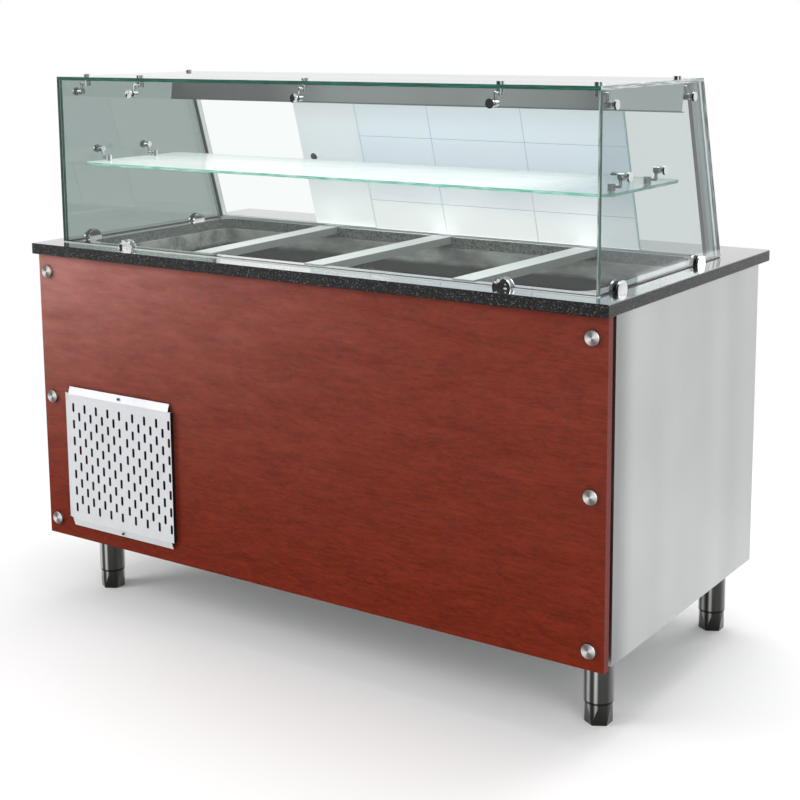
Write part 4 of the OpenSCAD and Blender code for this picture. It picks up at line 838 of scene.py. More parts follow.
@dataclass(frozen=True)
class LampHousing(Finish):
    """Dark satin channel with painted reflections as soft broad bands along X, painted shade at both ends and a
    lower lip painted dark as shade.
    """

    lip_z: float = 1.1905

    def surface(self, graph: Graph) -> Value:
        """Painted bands of grey, from the darker left end to the lighter middle and darker again at the right;
        the lip is painted nearly black as shade.
        """
        place = graph.place()
        x, _, z = place.split()
        wide = graph.noise(place.scaled((1.0, 0.0, 0.0)), 3.2, 2.0)
        fine = graph.noise(place.scaled((0.03, 1.0, 1.0)), 480.0, 2.0)
        # Painted shade towards both ends, and painted reflection bands along X.
        shade = x.rise(-0.75, -0.1, -0.95, 0.55) + x.rise(0.3, 0.6, 0.0, -0.6)
        shade = shade + (wide - 0.5) * 0.9 + (fine - 0.5) * 0.12
        colour = graph.ramp(shade, [(0.0, tone("353a3a")), (0.5, tone("6c7171")), (1.0, tone("868b8b"))])
        colour = graph.mix(x.rise(0.515, 0.535, 0.0, 0.6), colour, tone("d8dcdb"))
        # Painted shade on the lower lip.
        colour = graph.mix(z.below(self.lip_z) * 0.8, colour, tone("2a2c2c"))
        return graph.principled(Base_Color=colour, Metallic=0.25, Roughness=0.42 + fine * 0.1,
                                Normal=graph.bump(fine, 0.0001, 0.4))


@dataclass(frozen=True)
class ChannelJamb(Finish):
    """Leaning door channel: a dark brush in front, pale aluminium behind it.

    The distance across the lean is v = (y - y0) cos a + (z - z0) sin a, where
    a is the lean and (y0, z0) lies on the middle of the doors.
    """

    lean: float = LEAN
    origin: tuple[float, float] = (0.21375, 0.868)
    brush: float = -0.0105
    fin_x: float = 0.6846

    def surface(self, graph: Graph) -> Value:
        """Two tones by v, with a thin dark seam at the rear fin."""
        place = graph.place()
        _, y, z = place.split()
        v = (y - self.origin[0]) * math.cos(self.lean) + (z - self.origin[1]) * math.sin(self.lean)
        grain = graph.noise(place.scaled((1.0, 1.0, 0.03)), 600.0, 2.0)
        fins = abs(place.split()[0]).below(self.fin_x)
        dark = v.below(self.brush).larger(abs(v - 0.0118).below(0.0008)) * fins
        pale = graph.mix(grain, tone("b4baba"), tone("dce0e0"))
        colour = graph.mix(dark, pale, graph.mix(grain, tone("1f2123"), tone("3b3e41")))
        return graph.principled(Base_Color=colour, Metallic=0.5, Roughness=0.38 + dark * 0.3,
                                Normal=graph.bump(grain, 0.00008, 0.5))


@dataclass(frozen=True)
class GlassSeal(Finish):
    """Bedding under the glass: clear silicone under the front pane, black rubber at the sides."""

    front_y: float = -0.3295

    def surface(self, graph: Graph) -> Value:
        """Milky in front, black and lightly dusty elsewhere."""
        place = graph.place()
        clear = place.split()[1].below(self.front_y)
        grit = graph.noise(place, 600.0, 3.0, 0.7)
        black = graph.mix(grit, tone("101112"), tone("232425"))
        milky = graph.mix(grit, tone("b8bfbd"), tone("dfe4e2"))
        return graph.principled(Base_Color=graph.mix(clear, black, milky), Roughness=0.3 + grit * 0.3,
                                Normal=graph.bump(grit, 0.00005, 0.5))


class Stock:
    """Every finish of the salad bar, by what it is used for."""

    granite = PolishedGranite("granite")
    tank = WellSteel("tank_steel")
    foam = FoamedPlastic("foam")
    copper = CopperPipe("copper")
    turned = BrushedSteel("turned_steel", tint="c2c3c3", roughness=0.22, grain=Axis.Z)
    # Divider bars: the near-white top is a painted reflection, and the upright sides are painted darker as
    # shade.
    bars = BrushedSteel("bar_steel", tint="fafaf8", roughness=0.36, grain=Axis.Y, lines=0.04, metallic=0.1,
                        painted_shade_side_tint="b4b7b4")
    laminate = WoodLaminate("laminate")
    caps = TurnedCap("brushed_caps")
    # The grille's folded sides are painted near black as shade.
    grille = PaintedSheet("grille_steel", tint="cbcdd0", roughness=0.36, metallic=0.2, dusty=0.12,
                          painted_shade_sides="161617")
    screws = PolishedMetal("dark_screws", tint="56585a", roughness=0.25)
    satin = BrushedSteel("satin_steel", tint="c2c3c3", roughness=0.40, grain=Axis.Z, lines=0.04, bands=0.10)
    # The side panels are painted darker towards their front edge, as shade.
    sides = BrushedSteel("satin_steel", tint="bec0c0", roughness=0.40, grain=Axis.Z, lines=0.05, bands=0.12,
                         clouds=0.10, painted_shade_edge=0.62)
    carcass = BrushedSteel("frame_steel", tint="a9abac", roughness=0.42, grain=Axis.Z, lines=0.06)
    plastic = Moulding("black_plastic", tint="1b1c1e", roughness=0.42)
    gasket = Moulding("door_gasket", tint="3a3c3e", roughness=0.66, grain=500.0)
    legs = DrawnTube("leg_steel")
    feet = DrawnTube("foot_steel", low="3b3c3a", high="cdcecb", roughness=0.16, floor_darkening=0.22)
    front = ClearGlass("clear_glass", edge="032f28", edge_light="0e5c4e")
    # The side panes' through tints are darker than the front pane's, the left one most: painted shade.
    left = ClearGlass("clear_glass", across=Axis.X, through="c1c9c7", edge="0b302a", edge_light="4f7d73")
    right = ClearGlass("clear_glass", across=Axis.X, through="e2e7e7", edge="4c5b58", edge_light="ccd6d4")
    top = ClearGlass("clear_glass", across=Axis.Z, edge="03382e", edge_light="0a5f4e", mirror="e6ebe9",
                     side_edge="7f8a87")
    # The shelf's veil is a painted reflection with a faint glow.
    shelf = ClearGlass("shelf_glass", across=Axis.Z, edge="4fae95", edge_light="b9e6d8", veil=0.62)
    # The fittings' dark streaks and patches are painted reflections.
    chrome = PolishedMetal("polished_fittings", streaks=0.85)
    seal = GlassSeal("black_rubber")
    header = LampHousing("header_steel")
    lamp = FrostedTube("lamp_tube")
    track = BrushedSteel("track_aluminium", tint="cfd1d2", roughness=0.4, grain=Axis.X, lines=0.05)
    sill = BrushedSteel("sill_aluminium", tint="d6d8d9", roughness=0.36, grain=Axis.X, lines=0.05)
    jambs = ChannelJamb("dark_jambs")
    silver = SlidingPane("silver_glass")
    # filmed_glass: the upright line at -0.1808 is a painted shadow at the pane's left border; the rest are film
    # creases.
    filmed = SlidingPane("filmed_glass", top="dfe6ea", middle="d5dde9",
                         upright_creases_and_shadow_line=(-0.1808, 0.025, 0.273, 0.5245), level_creases=(1.105, 0.947))
    lens = PolishedMetal("black_plastic", tint="1c1f22", roughness=0.04, smear=0.05)
    keys = Moulding("grey_keys", tint="8d9093", roughness=0.45)
    rocker = Moulding("green_rocker", tint="1f7a3a", roughness=0.3)
    machine = PaintedSheet("dark_machine", tint="121314", roughness=0.5, dusty=0.15)
    blades = BrushedSteel("fan_aluminium", tint="b6b8ba", roughness=0.4, grain=Axis.X)


# ---------------------------------------------------------------- workshop


@dataclass
class Surface:
    """A grid of points, rows by columns, that one smooth skin is stretched over."""

    points: np.ndarray
    rows_join: bool = False
    columns_join: bool = False

    def faces(self, offset: int) -> np.ndarray:
        """Four corners for each cell of the grid.

        Args:
            offset: number of points already in the mesh.

        Returns:
            An array of corner numbers, cells by 4.
        """
        rows, columns = self.points.shape[:2]
        i = np.arange(rows if self.rows_join else rows - 1)
        j = np.arange(columns if self.columns_join else columns - 1)
        a, b = np.meshgrid(i, j, indexing="ij")
        a, b = a.ravel(), b.ravel()
        c, d = (a + 1) % rows, (b + 1) % columns
        return offset + np.stack([a * columns + b, c * columns + b, c * columns + d, a * columns + d], axis=1)


@dataclass
class Sweep:
    """A closed section carried round a rectangle with mitred corners, as of a door gasket."""

    low: np.ndarray
    high: np.ndarray

    def surface(self, section: np.ndarray) -> Surface:
        """Skin of the sweep.

        The section's points are (w, d): w metres in from the rectangle's
        outer edge and d metres from its far side in Y. At each corner the
        point moves in by w along both X and Z, which gives a mitre.

        Args:
            section: points of the closed section.

        Returns:
            A ring of four mitred sections.
        """
        w, d = section[:, 0], section[:, 1]
        left, right = self.low[0] + w, self.high[0] - w
        bottom, top = self.low[2] + w, self.high[2] - w
        deep = self.high[1] - d
        rows = [np.stack([x, deep, z], axis=1)
                for x, z in ((left, bottom), (right, bottom), (right, top), (left, top))]
        return Surface(np.stack(rows), rows_join=True, columns_join=True)


@dataclass
class Lathe:
    """Surfaces that run round an axis, with the radius free to vary by angle."""

    centre: tuple[float, float, float]
    axis: Axis
    columns: int = 48

    def surface(self, along: np.ndarray, radius: np.ndarray, lift: np.ndarray | None = None) -> Surface:
        """Skin through rings of points.

        A point lies at centre + (along + lift) * axis + radius * (u cos t +
        v sin t), where u and v stand square to the axis and t is the angle.

        Args:
            along: place of each ring along the axis.
            radius: radius of each ring, or one for each ring and angle.
            lift: extra height for each ring and angle.

        Returns:
            Rings joined round the axis.
        """
        axis = np.array(self.axis.value)
        u = np.roll(axis, 1)
        v = np.cross(axis, u)
        turn = np.linspace(0.0, math.tau, self.columns, endpoint=False)
        spread = np.outer(np.cos(turn), u) + np.outer(np.sin(turn), v)
        wide = radius if radius.ndim == 2 else np.repeat(radius[:, None], self.columns, axis=1)
        high = along[:, None] + (0.0 if lift is None else lift)
        high = np.broadcast_to(high, wide.shape)
        points = np.array(self.centre) + high[..., None] * axis + wide[..., None] * spread[None]
        return Surface(points, columns_join=True)

    def ring(self, radius: float, wire: float) -> Surface:
        """Round wire of the given thickness bent into a closed ring."""
        turn = np.linspace(0.0, math.tau, 11)
        return self.surface(wire / 2 * np.sin(turn), radius + wire / 2 * np.cos(turn))

    def screw(self, radius: float, height: float) -> Surface:
        """Pan head with a cross recess.

        The head's height is h sqrt(1 - 0.9 (r / R)^2). The recess sinks it
        by 0.55 h where the point is within 0.16 R of either arm's middle
        line and r is below 0.62 R.
        """
        share = np.array([0.0, 0.14, 0.28, 0.42, 0.56, 0.68, 0.8, 0.9, 0.97, 1.0, 1.0, 0.0])
        dome = height * np.sqrt(1.0 - 0.9 * share ** 2)
        dome[-2:] = 0.0
        turn = np.linspace(0.0, math.tau, self.columns, endpoint=False)
        off = share[:, None] * np.minimum(abs(np.sin(turn)), abs(np.cos(turn)))[None]
        arm = (off < 0.16) & (share[:, None] < 0.62)
        arm[-2:] = False
        return self.surface(dome, share * radius, np.where(arm, -0.55 * height, 0.0))


def bar(start: Sequence[float], end: Sequence[float], thick: float, sides: int = 10) -> Surface:
    """Straight round wire with closed ends.

    Args:
        start: middle of its first end.
        end: middle of its last end.
        thick: its thickness.
        sides: corners of its round section.

    Returns:
        The wire's skin.
    """
    a, b = np.array(start, float), np.array(end, float)
    axis = (b - a) / np.linalg.norm(b - a)
    u = np.cross(axis, (0.0, 0.0, 1.0) if abs(axis[2]) < 0.9 else (1.0, 0.0, 0.0))
    u /= np.linalg.norm(u)
    v = np.cross(axis, u)
    turn = np.linspace(0.0, math.tau, sides, endpoint=False)
    spread = np.outer(np.cos(turn), u) + np.outer(np.sin(turn), v)
    rings = [a + 0.0 * spread, a + thick / 2 * spread, b + thick / 2 * spread, b + 0.0 * spread]
    return Surface(np.stack(rings), columns_join=True)


def corners_of(node: str) -> tuple[np.ndarray, np.ndarray]:
    """A CAD node's lowest and highest corners at rest, in metres."""
    low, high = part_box(node)
    return np.array(low, float), np.array(high, float)


class Workshop:
    """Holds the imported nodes, makes each finish once, and turns surfaces into pieces."""

    def __init__(self, packed: dict[str, object]) -> None:
        """Keeps the frame's nodes and record."""
        self.nodes: dict[str, bpy.types.Object] = packed["nodes"]
        self._made: dict[Finish, bpy.types.Material] = {}
        self.dressed: set[str] = set()

    def finish(self, finish: Finish) -> bpy.types.Material:
        """The material of a finish, made the first time it is asked for."""
        if finish not in self._made:
            self._made[finish] = finish.material()
        return self._made[finish]

    def dress(self, finish: Finish, *names: str) -> None:
        """Gives CAD nodes a finish.

        Args:
            finish: the finish.
            names: the nodes.
        """
        for name in names:
            node = self.nodes[name]
            if not node.data.materials:
                node.data.materials.append(None)
            for place in node.material_slots:
                place.material = self.finish(finish)
            self.dressed.add(name)
            log.info("%s: %s", name, finish.slot)

    def piece(self, name: str, surfaces: Sequence[Surface], finish: Finish, body: str,
              replaces: Sequence[str] = (), smooth: bool = True) -> bpy.types.Object:
        """Makes one object out of surfaces and lets it ride on a body.

        Args:
            name: the new piece's name.
            surfaces: its skins, each closed in itself.
            finish: what it is made of.
            body: the CAD body that carries it.
            replaces: CAD nodes that it stands for.
            smooth: whether its faces shade smoothly.

        Returns:
            The new object.
        """
        offsets = np.cumsum([0] + [s.points.shape[0] * s.points.shape[1] for s in surfaces])
        points = np.concatenate([s.points.reshape(-1, 3) for s in surfaces])
        faces = np.concatenate([s.faces(int(o)) for s, o in zip(surfaces, offsets)])
        mesh = bpy.data.meshes.new(name)
        mesh.from_pydata(points.tolist(), [], faces.tolist())
        shape = bmesh.new()
        shape.from_mesh(mesh)
        bmesh.ops.remove_doubles(shape, verts=shape.verts, dist=1e-6)
        bmesh.ops.recalc_face_normals(shape, faces=shape.faces)
        shape.to_mesh(mesh)
        shape.free()
        mesh.polygons.foreach_set("use_smooth", np.full(len(mesh.polygons), smooth))
        mesh.materials.append(self.finish(finish))
        made = bpy.data.objects.new(name, mesh)
        bpy.context.scene.collection.objects.link(made)
        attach(made, body)
        if replaces:
            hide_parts(*replaces)
        log.info("%s: %d faces on %s", name, len(mesh.polygons), body)
        return made


@dataclass
class Assembly:
    """A group of CAD nodes and fine pieces that belong together."""

    shop: Workshop

    def dress(self) -> None:
        """Gives the group's CAD nodes their finishes."""
        raise NotImplementedError

    def build(self) -> None:
        """Makes the group's own new pieces; a group may have none."""


# ---------------------------------------------------------------- sub-assemblies


@dataclass
class Worktop(Assembly):
    """Granite slab with the well opening cut in it."""

    def dress(self) -> None:
        """Stone for the slab."""
        self.shop.dress(Stock.granite, "granite_worktop")


@dataclass
class ColdWell(Assembly):
    """Cooled well with its divider bars, drain, coil and insulation."""

    bore: float = 0.019
    wire: float = 0.0014
    rings: tuple[float, ...] = (0.004, 0.009, 0.014)

    def dress(self) -> None:
        """Steel, foam and copper."""
        self.shop.dress(Stock.tank, "well_tank")
        self.shop.dress(Stock.foam, "well_insulation")
        self.shop.dress(Stock.copper, "cooling_coil")
        self.shop.dress(Stock.turned, "well_drain")
        self.shop.dress(Stock.bars, "divider_bar_left", "divider_bar_middle", "divider_bar_right")

    def build(self) -> None:
        """A strainer of three rings on two crossed wires in the mouth of the drain."""
        low, high = corners_of("well_drain")
        middle = (low + high) / 2
        at = (middle[0], middle[1], high[2] - 0.0022)
        lathe = Lathe(at, Axis.Z, columns=40)
        rings = [lathe.ring(radius, self.wire) for radius in self.rings]
        reach = self.bore / 2
        wires = [bar((at[0] - reach, at[1], at[2]), (at[0] + reach, at[1], at[2]), self.wire),
                 bar((at[0], at[1] - reach, at[2]), (at[0], at[1] + reach, at[2]), self.wire)]
        self.shop.piece("drain_strainer", rings + wires, Stock.turned, "cabinet")


@dataclass
class FrontPanel(Assembly):
    """Laminate front on turned stand-offs, with its air grille."""

    def dress(self) -> None:
        """Laminate, turned caps, painted grille and dark screws."""
        self.shop.dress(Stock.laminate, "front_panel")
        self.shop.dress(Stock.caps, "panel_standoffs")
        self.shop.dress(Stock.grille, "vent_grille")
        self.shop.dress(Stock.screws, "grille_screws")


@dataclass
class Cabinet(Assembly):
    """Stainless body: sides, base, linings, rear fascia and cupboard."""

    gasket_width: float = 0.012
    screw_inset: float = 0.009
    screw_head: float = 0.0085
    screw_height: float = 0.0024

    def dress(self) -> None:
        """Satin outside, plainer steel inside."""
        self.shop.dress(Stock.sides, "side_panel_left", "side_panel_right")
        self.shop.dress(Stock.satin, "rear_fascia", "machine_cover", "cupboard_door_left",
                        "cupboard_door_right")
        self.shop.dress(Stock.carcass, "cabinet_frame", "base_panel", "inner_front", "bay_wall",
                        "cupboard_shelf", "shelf_brackets")
        self.shop.dress(Stock.turned, "door_hinges")
        self.shop.dress(Stock.gasket, "door_gasket_left", "door_gasket_right")
        self.shop.dress(Stock.plastic, "cable_gland")

    def build(self) -> None:
        """Bellows gaskets on the doors, screws in the machine cover and a fluted cable gland."""
        for side in ("left", "right"):
            self.gasket(side)
        self.cover_screws()
        self.gland()

    def gasket(self, side: str) -> None:
        """Magnetic gasket: a folding bellows under a round-cornered magnet strip.

        Both walls of the bellows swing by a sine of two waves over their
        height. The strip's outline is |a|^4 + |b|^4 = 1.

        Args:
            side: "left" or "right" door.
        """
        low, high = corners_of("door_gasket_" + side)
        wide, deep = self.gasket_width, high[1] - low[1]
        rise = np.linspace(0.0, 1.0, 17)
        wall = wide * (0.17 + 0.09 * np.sin(2 * math.tau * rise))
        turn = np.linspace(1.25 * math.pi, -0.25 * math.pi, 25)
        across, up = np.cos(turn), np.sin(turn)
        head = np.stack([wide / 2 * (1 + np.sign(across) * np.sqrt(abs(across))),
                         deep * (0.81 + 0.19 * np.sign(up) * np.sqrt(abs(up)))], axis=1)
        climb = np.stack([wall, 0.58 * deep * rise], axis=1)
        descent = np.stack([wide - wall, 0.58 * deep * rise], axis=1)[::-1]
        section = np.concatenate([climb, head, descent])
        self.shop.piece(f"bellows_gasket_{side}", [Sweep(low, high).surface(section)], Stock.gasket,
                        "cupboard_door_" + side, replaces=["door_gasket_" + side], smooth=False)

    def cover_screws(self) -> None:
        """Six cross-head screws through the edges of the machine cover."""
        low, high = corners_of("machine_cover")
        inset = self.screw_inset
        places = [(x, z) for x in (low[0] + inset, high[0] - inset)
                  for z in (low[2] + inset, (low[2] + high[2]) / 2, high[2] - inset)]
        heads = [Lathe((x, high[1], z), Axis.Y, columns=40).screw(self.screw_head / 2, self.screw_height)
                 for x, z in places]
        self.shop.piece("cover_screws", heads, Stock.turned, "cabinet")

    def gland(self) -> None:
        """Cable gland: a six-sided body and a fluted dome nut round an empty bore.

        A six-sided ring has the radius r / cos(angle from the middle of its
        flat). A fluted ring has the radius r (1 + 0.035 cos 16 t).
        """
        low, high = corners_of("cable_gland")
        middle = (low + high) / 2
        lathe = Lathe((middle[0], low[1], middle[2]), Axis.Y, columns=96)
        turn = np.linspace(0.0, math.tau, lathe.columns, endpoint=False)
        flat = (turn % (math.pi / 3)) - math.pi / 6
        plate = (high[0] - low[0]) / 2 * math.cos(math.pi / 6)
        tail, depth = plate * 0.72, high[1] - low[1]
        rows = [(0.0, tail, 0), (0.42, tail, 0), (0.425, plate, 2), (0.56, plate, 2),
                (0.575, plate * 0.96, 2), (0.578, tail * 1.12, 0), (0.585, tail * 1.18, 1), (0.8, tail * 1.1, 1),
                (0.9, tail * 0.98, 1), (0.97, tail * 0.82, 0), (1.0, tail * 0.66, 0), (0.985, tail * 0.55, 0),
                (0.6, tail * 0.5, 0), (0.0, tail * 0.5, 0), (0.0, tail, 0)]
        shape = {0: np.ones_like(turn), 1: 1.0 + 0.035 * np.cos(16 * turn), 2: 1.0 / np.cos(flat)}
        along = np.array([row[0] * depth for row in rows])
        radius = np.stack([row[1] * shape[row[2]] for row in rows])
        self.shop.piece("fluted_gland", [lathe.surface(along, radius)], Stock.plastic, "cabinet",
                        replaces=["cable_gland"], smooth=False)


@dataclass
class Legs(Assembly):
    """Four tube legs with faceted screw feet."""

    def dress(self) -> None:
        """Drawn tube above, darker feet below."""
        self.shop.dress(Stock.legs, "leg_tubes")
        self.shop.dress(Stock.feet, *(f"foot_{end}_{side}" for end in ("front", "rear")
                                      for side in ("left", "right")))


@dataclass
class Canopy(Assembly):
    """Glass box with its shelf, clamps and connectors."""

    def dress(self) -> None:
        """Each pane gets the glass that faces its own way."""
        for finish, name in ((Stock.front, "front_glass"), (Stock.left, "side_glass_left"),
                             (Stock.right, "side_glass_right"), (Stock.top, "top_glass"),
                             (Stock.shelf, "shelf_glass"), (Stock.seal, "glass_gaskets")):
            self.shop.dress(finish, name)
        self.shop.dress(Stock.chrome, "glass_clamps", "top_connectors", "shelf_connectors")


@dataclass
class Header(Assembly):
    """Lamp channel under the rear of the canopy's top."""

    def dress(self) -> None:
        """Dark satin channel, opal lamp and aluminium track."""
        self.shop.dress(Stock.header, "header_channel")
        self.shop.dress(Stock.lamp, "lamp")
        self.shop.dress(Stock.track, "door_top_track")


@dataclass
class SlidingDoors(Assembly):
    """Two leaning doors on a sill between dark jambs."""

    def dress(self) -> None:
        """Silver sheet on the doors, chrome on their knobs."""
        self.shop.dress(Stock.sill, "door_sill")
        self.shop.dress(Stock.jambs, "door_jambs")
        self.shop.dress(Stock.silver, "sliding_door_outer")
        self.shop.dress(Stock.filmed, "sliding_door_inner")
        self.shop.dress(Stock.chrome, "outer_door_knob", "inner_door_knob")


@dataclass
class Controls(Assembly):
    """Thermostat, its keys and the power switch."""

    lens: tuple[float, float] = (0.0508, 0.0148)

    def dress(self) -> None:
        """Moulded plastics."""
        self.shop.dress(Stock.plastic, "thermostat", "power_switch_frame")
        self.shop.dress(Stock.keys, "key_left", "key_middle", "key_right")
        self.shop.dress(Stock.rocker, "power_rocker")

    def build(self) -> None:
        """A dark lens in the window of the thermostat.

        The lens's outline is |a|^6 + |b|^6 = 1, and its height falls from
        the middle to the rim as h (1 - r^4).
        """
        low, high = corners_of("thermostat")
        middle = (low + high) / 2
        lathe = Lathe((middle[0], high[1] - 0.0008, middle[2] + 0.005), Axis.Y, columns=96)
        share = np.array([0.0, 0.25, 0.5, 0.7, 0.85, 0.95, 1.0, 1.0, 0.0])
        height = 0.0007 * (1.0 - share ** 4)
        height[-2:] = -0.00004
        outline = self.lens_outline(lathe)
        self.shop.piece("display_lens", [lathe.surface(height, share[:, None] * outline[None])],
                        Stock.lens, "cabinet")

    def lens_outline(self, lathe: Lathe) -> np.ndarray:
        """Radius of the lens's outline at each of the lathe's angles, which start at the top."""
        turn = np.linspace(0.0, math.tau, lathe.columns, endpoint=False)
        wide, high = self.lens
        return ((abs(np.sin(turn)) / (wide / 2)) ** 6 + (abs(np.cos(turn)) / (high / 2)) ** 6) ** (-1 / 6)


@dataclass
class Machine(Assembly):
    """Condensing unit, its fan and the refrigerant pipes."""

    fan_x: float = -0.486
    fan_z: float = 0.365
    blades: int = 5
    guard: tuple[float, ...] = (0.044, 0.056, 0.068, 0.080, 0.092, 0.104)
    guard_y: float = -0.2613

    def dress(self) -> None:
        """Black machine, bright blades, copper pipes."""
        self.shop.dress(Stock.machine, "condensing_unit")
        self.shop.dress(Stock.blades, "fan_blades")
        self.shop.dress(Stock.copper, "refrigerant_lines")

    def build(self) -> None:
        """Twisted, cambered fan blades on a turned hub, and a guard of wire rings behind them."""
        low, high = corners_of("fan_blades")
        centre = np.array([self.fan_x, (low[1] + high[1]) / 2, self.fan_z])
        hub = Lathe(tuple(centre), Axis.Y, columns=48)
        along = np.array([-0.008, -0.008, -0.0065, 0.0065, 0.008, 0.008, -0.008])
        radius = np.array([0.0041, 0.0185, 0.02, 0.02, 0.0185, 0.0041, 0.0041])
        blades = [self.blade(centre, i * math.tau / self.blades) for i in range(self.blades)]
        self.shop.piece("cambered_fan", [hub.surface(along, radius)] + blades, Stock.blades, "fan",
                        replaces=["fan_blades"])
        guard = Lathe((centre[0], self.guard_y, centre[2]), Axis.Y, columns=72)
        self.shop.piece("fan_guard", [guard.ring(r, 0.0024) for r in self.guard], Stock.machine, "cabinet")

    def blade(self, centre: np.ndarray, turned: float) -> Surface:
        """One blade.

        Its chord grows from 40 to 54 mm from hub to tip and is pitched by
        30 degrees falling to 22. Across the chord c from -1 to 1 its camber
        is 0.0022 (1 - c^2), and its skin stands off by the half thickness
        0.0009 sqrt(1 - 0.8 c^2).

        Args:
            centre: middle of the hub.
            turned: the blade's angle round the hub.

        Returns:
            A closed skin.
        """
        out = np.linspace(0.018, 0.0985, 14)[:, None]
        share = (out - 0.018) / 0.0805
        c = np.concatenate([np.linspace(-1, 1, 13), np.linspace(1, -1, 13)[1:-1]])[None]
        side = np.concatenate([np.ones(13), -np.ones(11)])[None]
        chord, pitch = 0.020 + 0.007 * share, np.radians(30.0 - 8.0 * share)
        off = 0.0022 * (1 - c ** 2) + side * 0.0009 * np.sqrt(1 - 0.8 * c ** 2)
        across = chord * c * np.cos(pitch) - off * np.sin(pitch)
        deep = chord * c * np.sin(pitch) * 0.96 + off * np.cos(pitch)
        span = np.sqrt(np.maximum(out ** 2 - across ** 2, 1e-8)) * np.ones_like(across)
        x = span * math.cos(turned) - across * math.sin(turned)
        z = span * math.sin(turned) + across * math.cos(turned)
        skin = np.stack([centre[0] + x, centre[1] + deep, centre[2] + z], axis=2)
        ends = [np.repeat(row.mean(axis=0)[None, None], skin.shape[1], axis=1) for row in (skin[0], skin[-1])]
        return Surface(np.concatenate([ends[0], skin, ends[1]]), columns_join=True)


# ---------------------------------------------------------------- studio


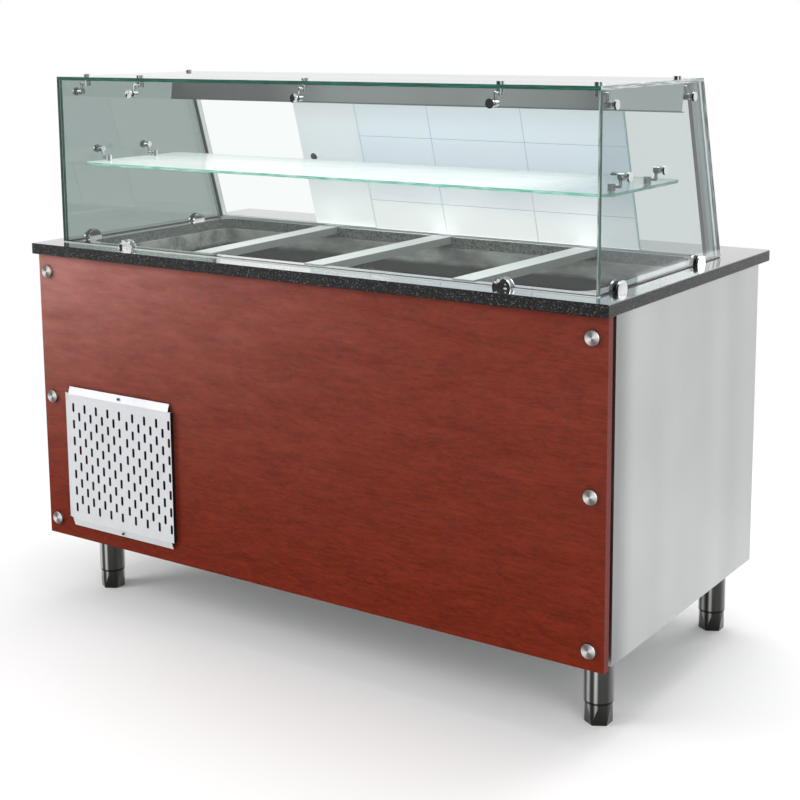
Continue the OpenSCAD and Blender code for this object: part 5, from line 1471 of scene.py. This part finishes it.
@dataclass
class Studio:
    """Camera, lamps, pale floor and white surround."""

    camera_at: tuple[float, float, float] = (1.9352, -2.7748, 1.3622)
    yaw: float = 34.516
    pitch: float = 9.146
    roll: float = -0.464
    lens: float = 67.47
    shift_y: float = -0.165
    ambient: float = 0.62
    floor_half: float = 14.0
    lamps: list[tuple[str, tuple[float, float, float], tuple[float, float, float], float, float]] = field(
        default_factory=lambda: [
            ("key_lamp", (-3.4, -3.6, 2.9), (0.0, 0.0, 0.6), 2.4, 120.0),
            ("fill_lamp", (3.6, -2.4, 2.2), (0.0, 0.0, 0.6), 2.4, 45.0),
            ("top_lamp", (0.2, 0.6, 3.6), (0.0, 0.0, 0.8), 2.6, 60.0),
            ("rear_lamp", (1.5, 4.2, 2.6), (0.0, 0.0, 0.7), 2.4, 60.0),
        ])

    def aim(self) -> None:
        """Sets the camera by yaw, pitch and roll about its place."""
        yaw, pitch, roll = (math.radians(a) for a in (self.yaw, self.pitch, self.roll))
        ahead = Vector((-math.sin(yaw) * math.cos(pitch), math.cos(yaw) * math.cos(pitch), -math.sin(pitch)))
        right = ahead.cross(Vector((0, 0, 1))).normalized()
        up = right.cross(ahead)
        turned = math.cos(roll) * right + math.sin(roll) * up
        upright = -math.sin(roll) * right + math.cos(roll) * up
        data = bpy.data.cameras.new("photo_camera")
        data.lens, data.sensor_width, data.shift_y = self.lens, 36.0, self.shift_y
        data.clip_start, data.clip_end = 0.05, 100.0
        camera = bpy.data.objects.new("photo_camera", data)
        camera.matrix_world = Matrix.Translation(self.camera_at) @ Matrix(
            (turned, upright, -ahead)).transposed().to_4x4()
        bpy.context.scene.collection.objects.link(camera)
        bpy.context.scene.camera = camera

    def light(self) -> None:
        """Hangs the soft lamps; each is (name, place, aim, width in metres, watts)."""
        for name, place, target, width, watts in self.lamps:
            data = bpy.data.lights.new(name, "AREA")
            data.shape, data.size, data.energy = "SQUARE", width, watts
            lamp = bpy.data.objects.new(name, data)
            lamp.location = place
            lamp.rotation_euler = (Vector(target) - Vector(place)).to_track_quat("-Z", "Y").to_euler()
            bpy.context.scene.collection.objects.link(lamp)

    @staticmethod
    def seen(graph: Graph) -> Value:
        """1 for what the camera, mirrors and glass see, 0 for light on matt surfaces."""
        node = graph.node("ShaderNodeLightPath", {}, {})
        rays = [Value(graph, node.outputs[name]) for name in
                ("Is Camera Ray", "Is Glossy Ray", "Is Transmission Ray")]
        return rays[0].larger(rays[1]).larger(rays[2])

    def surround(self) -> None:
        """White to look at, and a plain soft grey as light."""
        world = bpy.data.worlds.new("white_studio")
        bpy.context.scene.world = world
        world.use_nodes = True
        graph = Graph(world.node_tree)
        soft = graph.value("ShaderNodeBackground", {}, {"Color": (1.0, 1.0, 1.0), "Strength": self.ambient})
        white = graph.value("ShaderNodeBackground", {}, {"Color": (1.0, 1.0, 1.0), "Strength": 1.0})
        graph.output(graph.either(self.seen(graph), soft, white), "ShaderNodeOutputWorld")

    def ground(self) -> None:
        """Pale floor that keeps the shadow and fades to white away from the object."""
        half = self.floor_half
        mesh = bpy.data.meshes.new("floor")
        mesh.from_pydata([(-half, -half, 0), (half, -half, 0), (half, half, 0), (-half, half, 0)], [],
                         [(0, 1, 2, 3)])
        made = bpy.data.materials.new("pale_floor")
        made.use_nodes = True
        graph = Graph(made.node_tree)
        x, y, _ = graph.place().split()
        away = (x * x + y * y).root().rise(0.95, 2.1)
        matt = graph.principled(Base_Color=(0.95, 0.95, 0.95), Roughness=0.9, Specular_IOR_Level=0.0)
        white = graph.value("ShaderNodeEmission", {}, {"Color": (1.0, 1.0, 1.0), "Strength": 1.0})
        graph.output(graph.either(away * self.seen(graph), matt, white))
        mesh.materials.append(made)
        floor = bpy.data.objects.new("floor", mesh)
        bpy.context.scene.collection.objects.link(floor)

    def set_up(self) -> None:
        """Puts the whole studio in place."""
        scene = bpy.context.scene
        scene.view_settings.view_transform = "Standard"
        scene.cycles.transparent_max_bounces = 32
        self.aim()
        self.light()
        self.surround()
        self.ground()
        log.info("studio: camera at %s, %d lamps", self.camera_at, len(self.lamps))


def main() -> None:
    """Builds the salad bar's looks in order and reports each piece."""
    logging.basicConfig(level=logging.INFO, format="%(message)s")
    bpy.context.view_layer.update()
    shop = Workshop(frame)
    groups = (Worktop, ColdWell, FrontPanel, Cabinet, Legs, Canopy, Header, SlidingDoors, Controls, Machine)
    for group in groups:
        part = group(shop)
        part.dress()
        part.build()
        log.info("%s is done", group.__name__)
    bare = sorted(set(shop.nodes) - shop.dressed)
    if bare:
        log.warning("no finish yet: %s", ", ".join(bare))
    Studio().set_up()


if __name__ == "__main__":
    main()
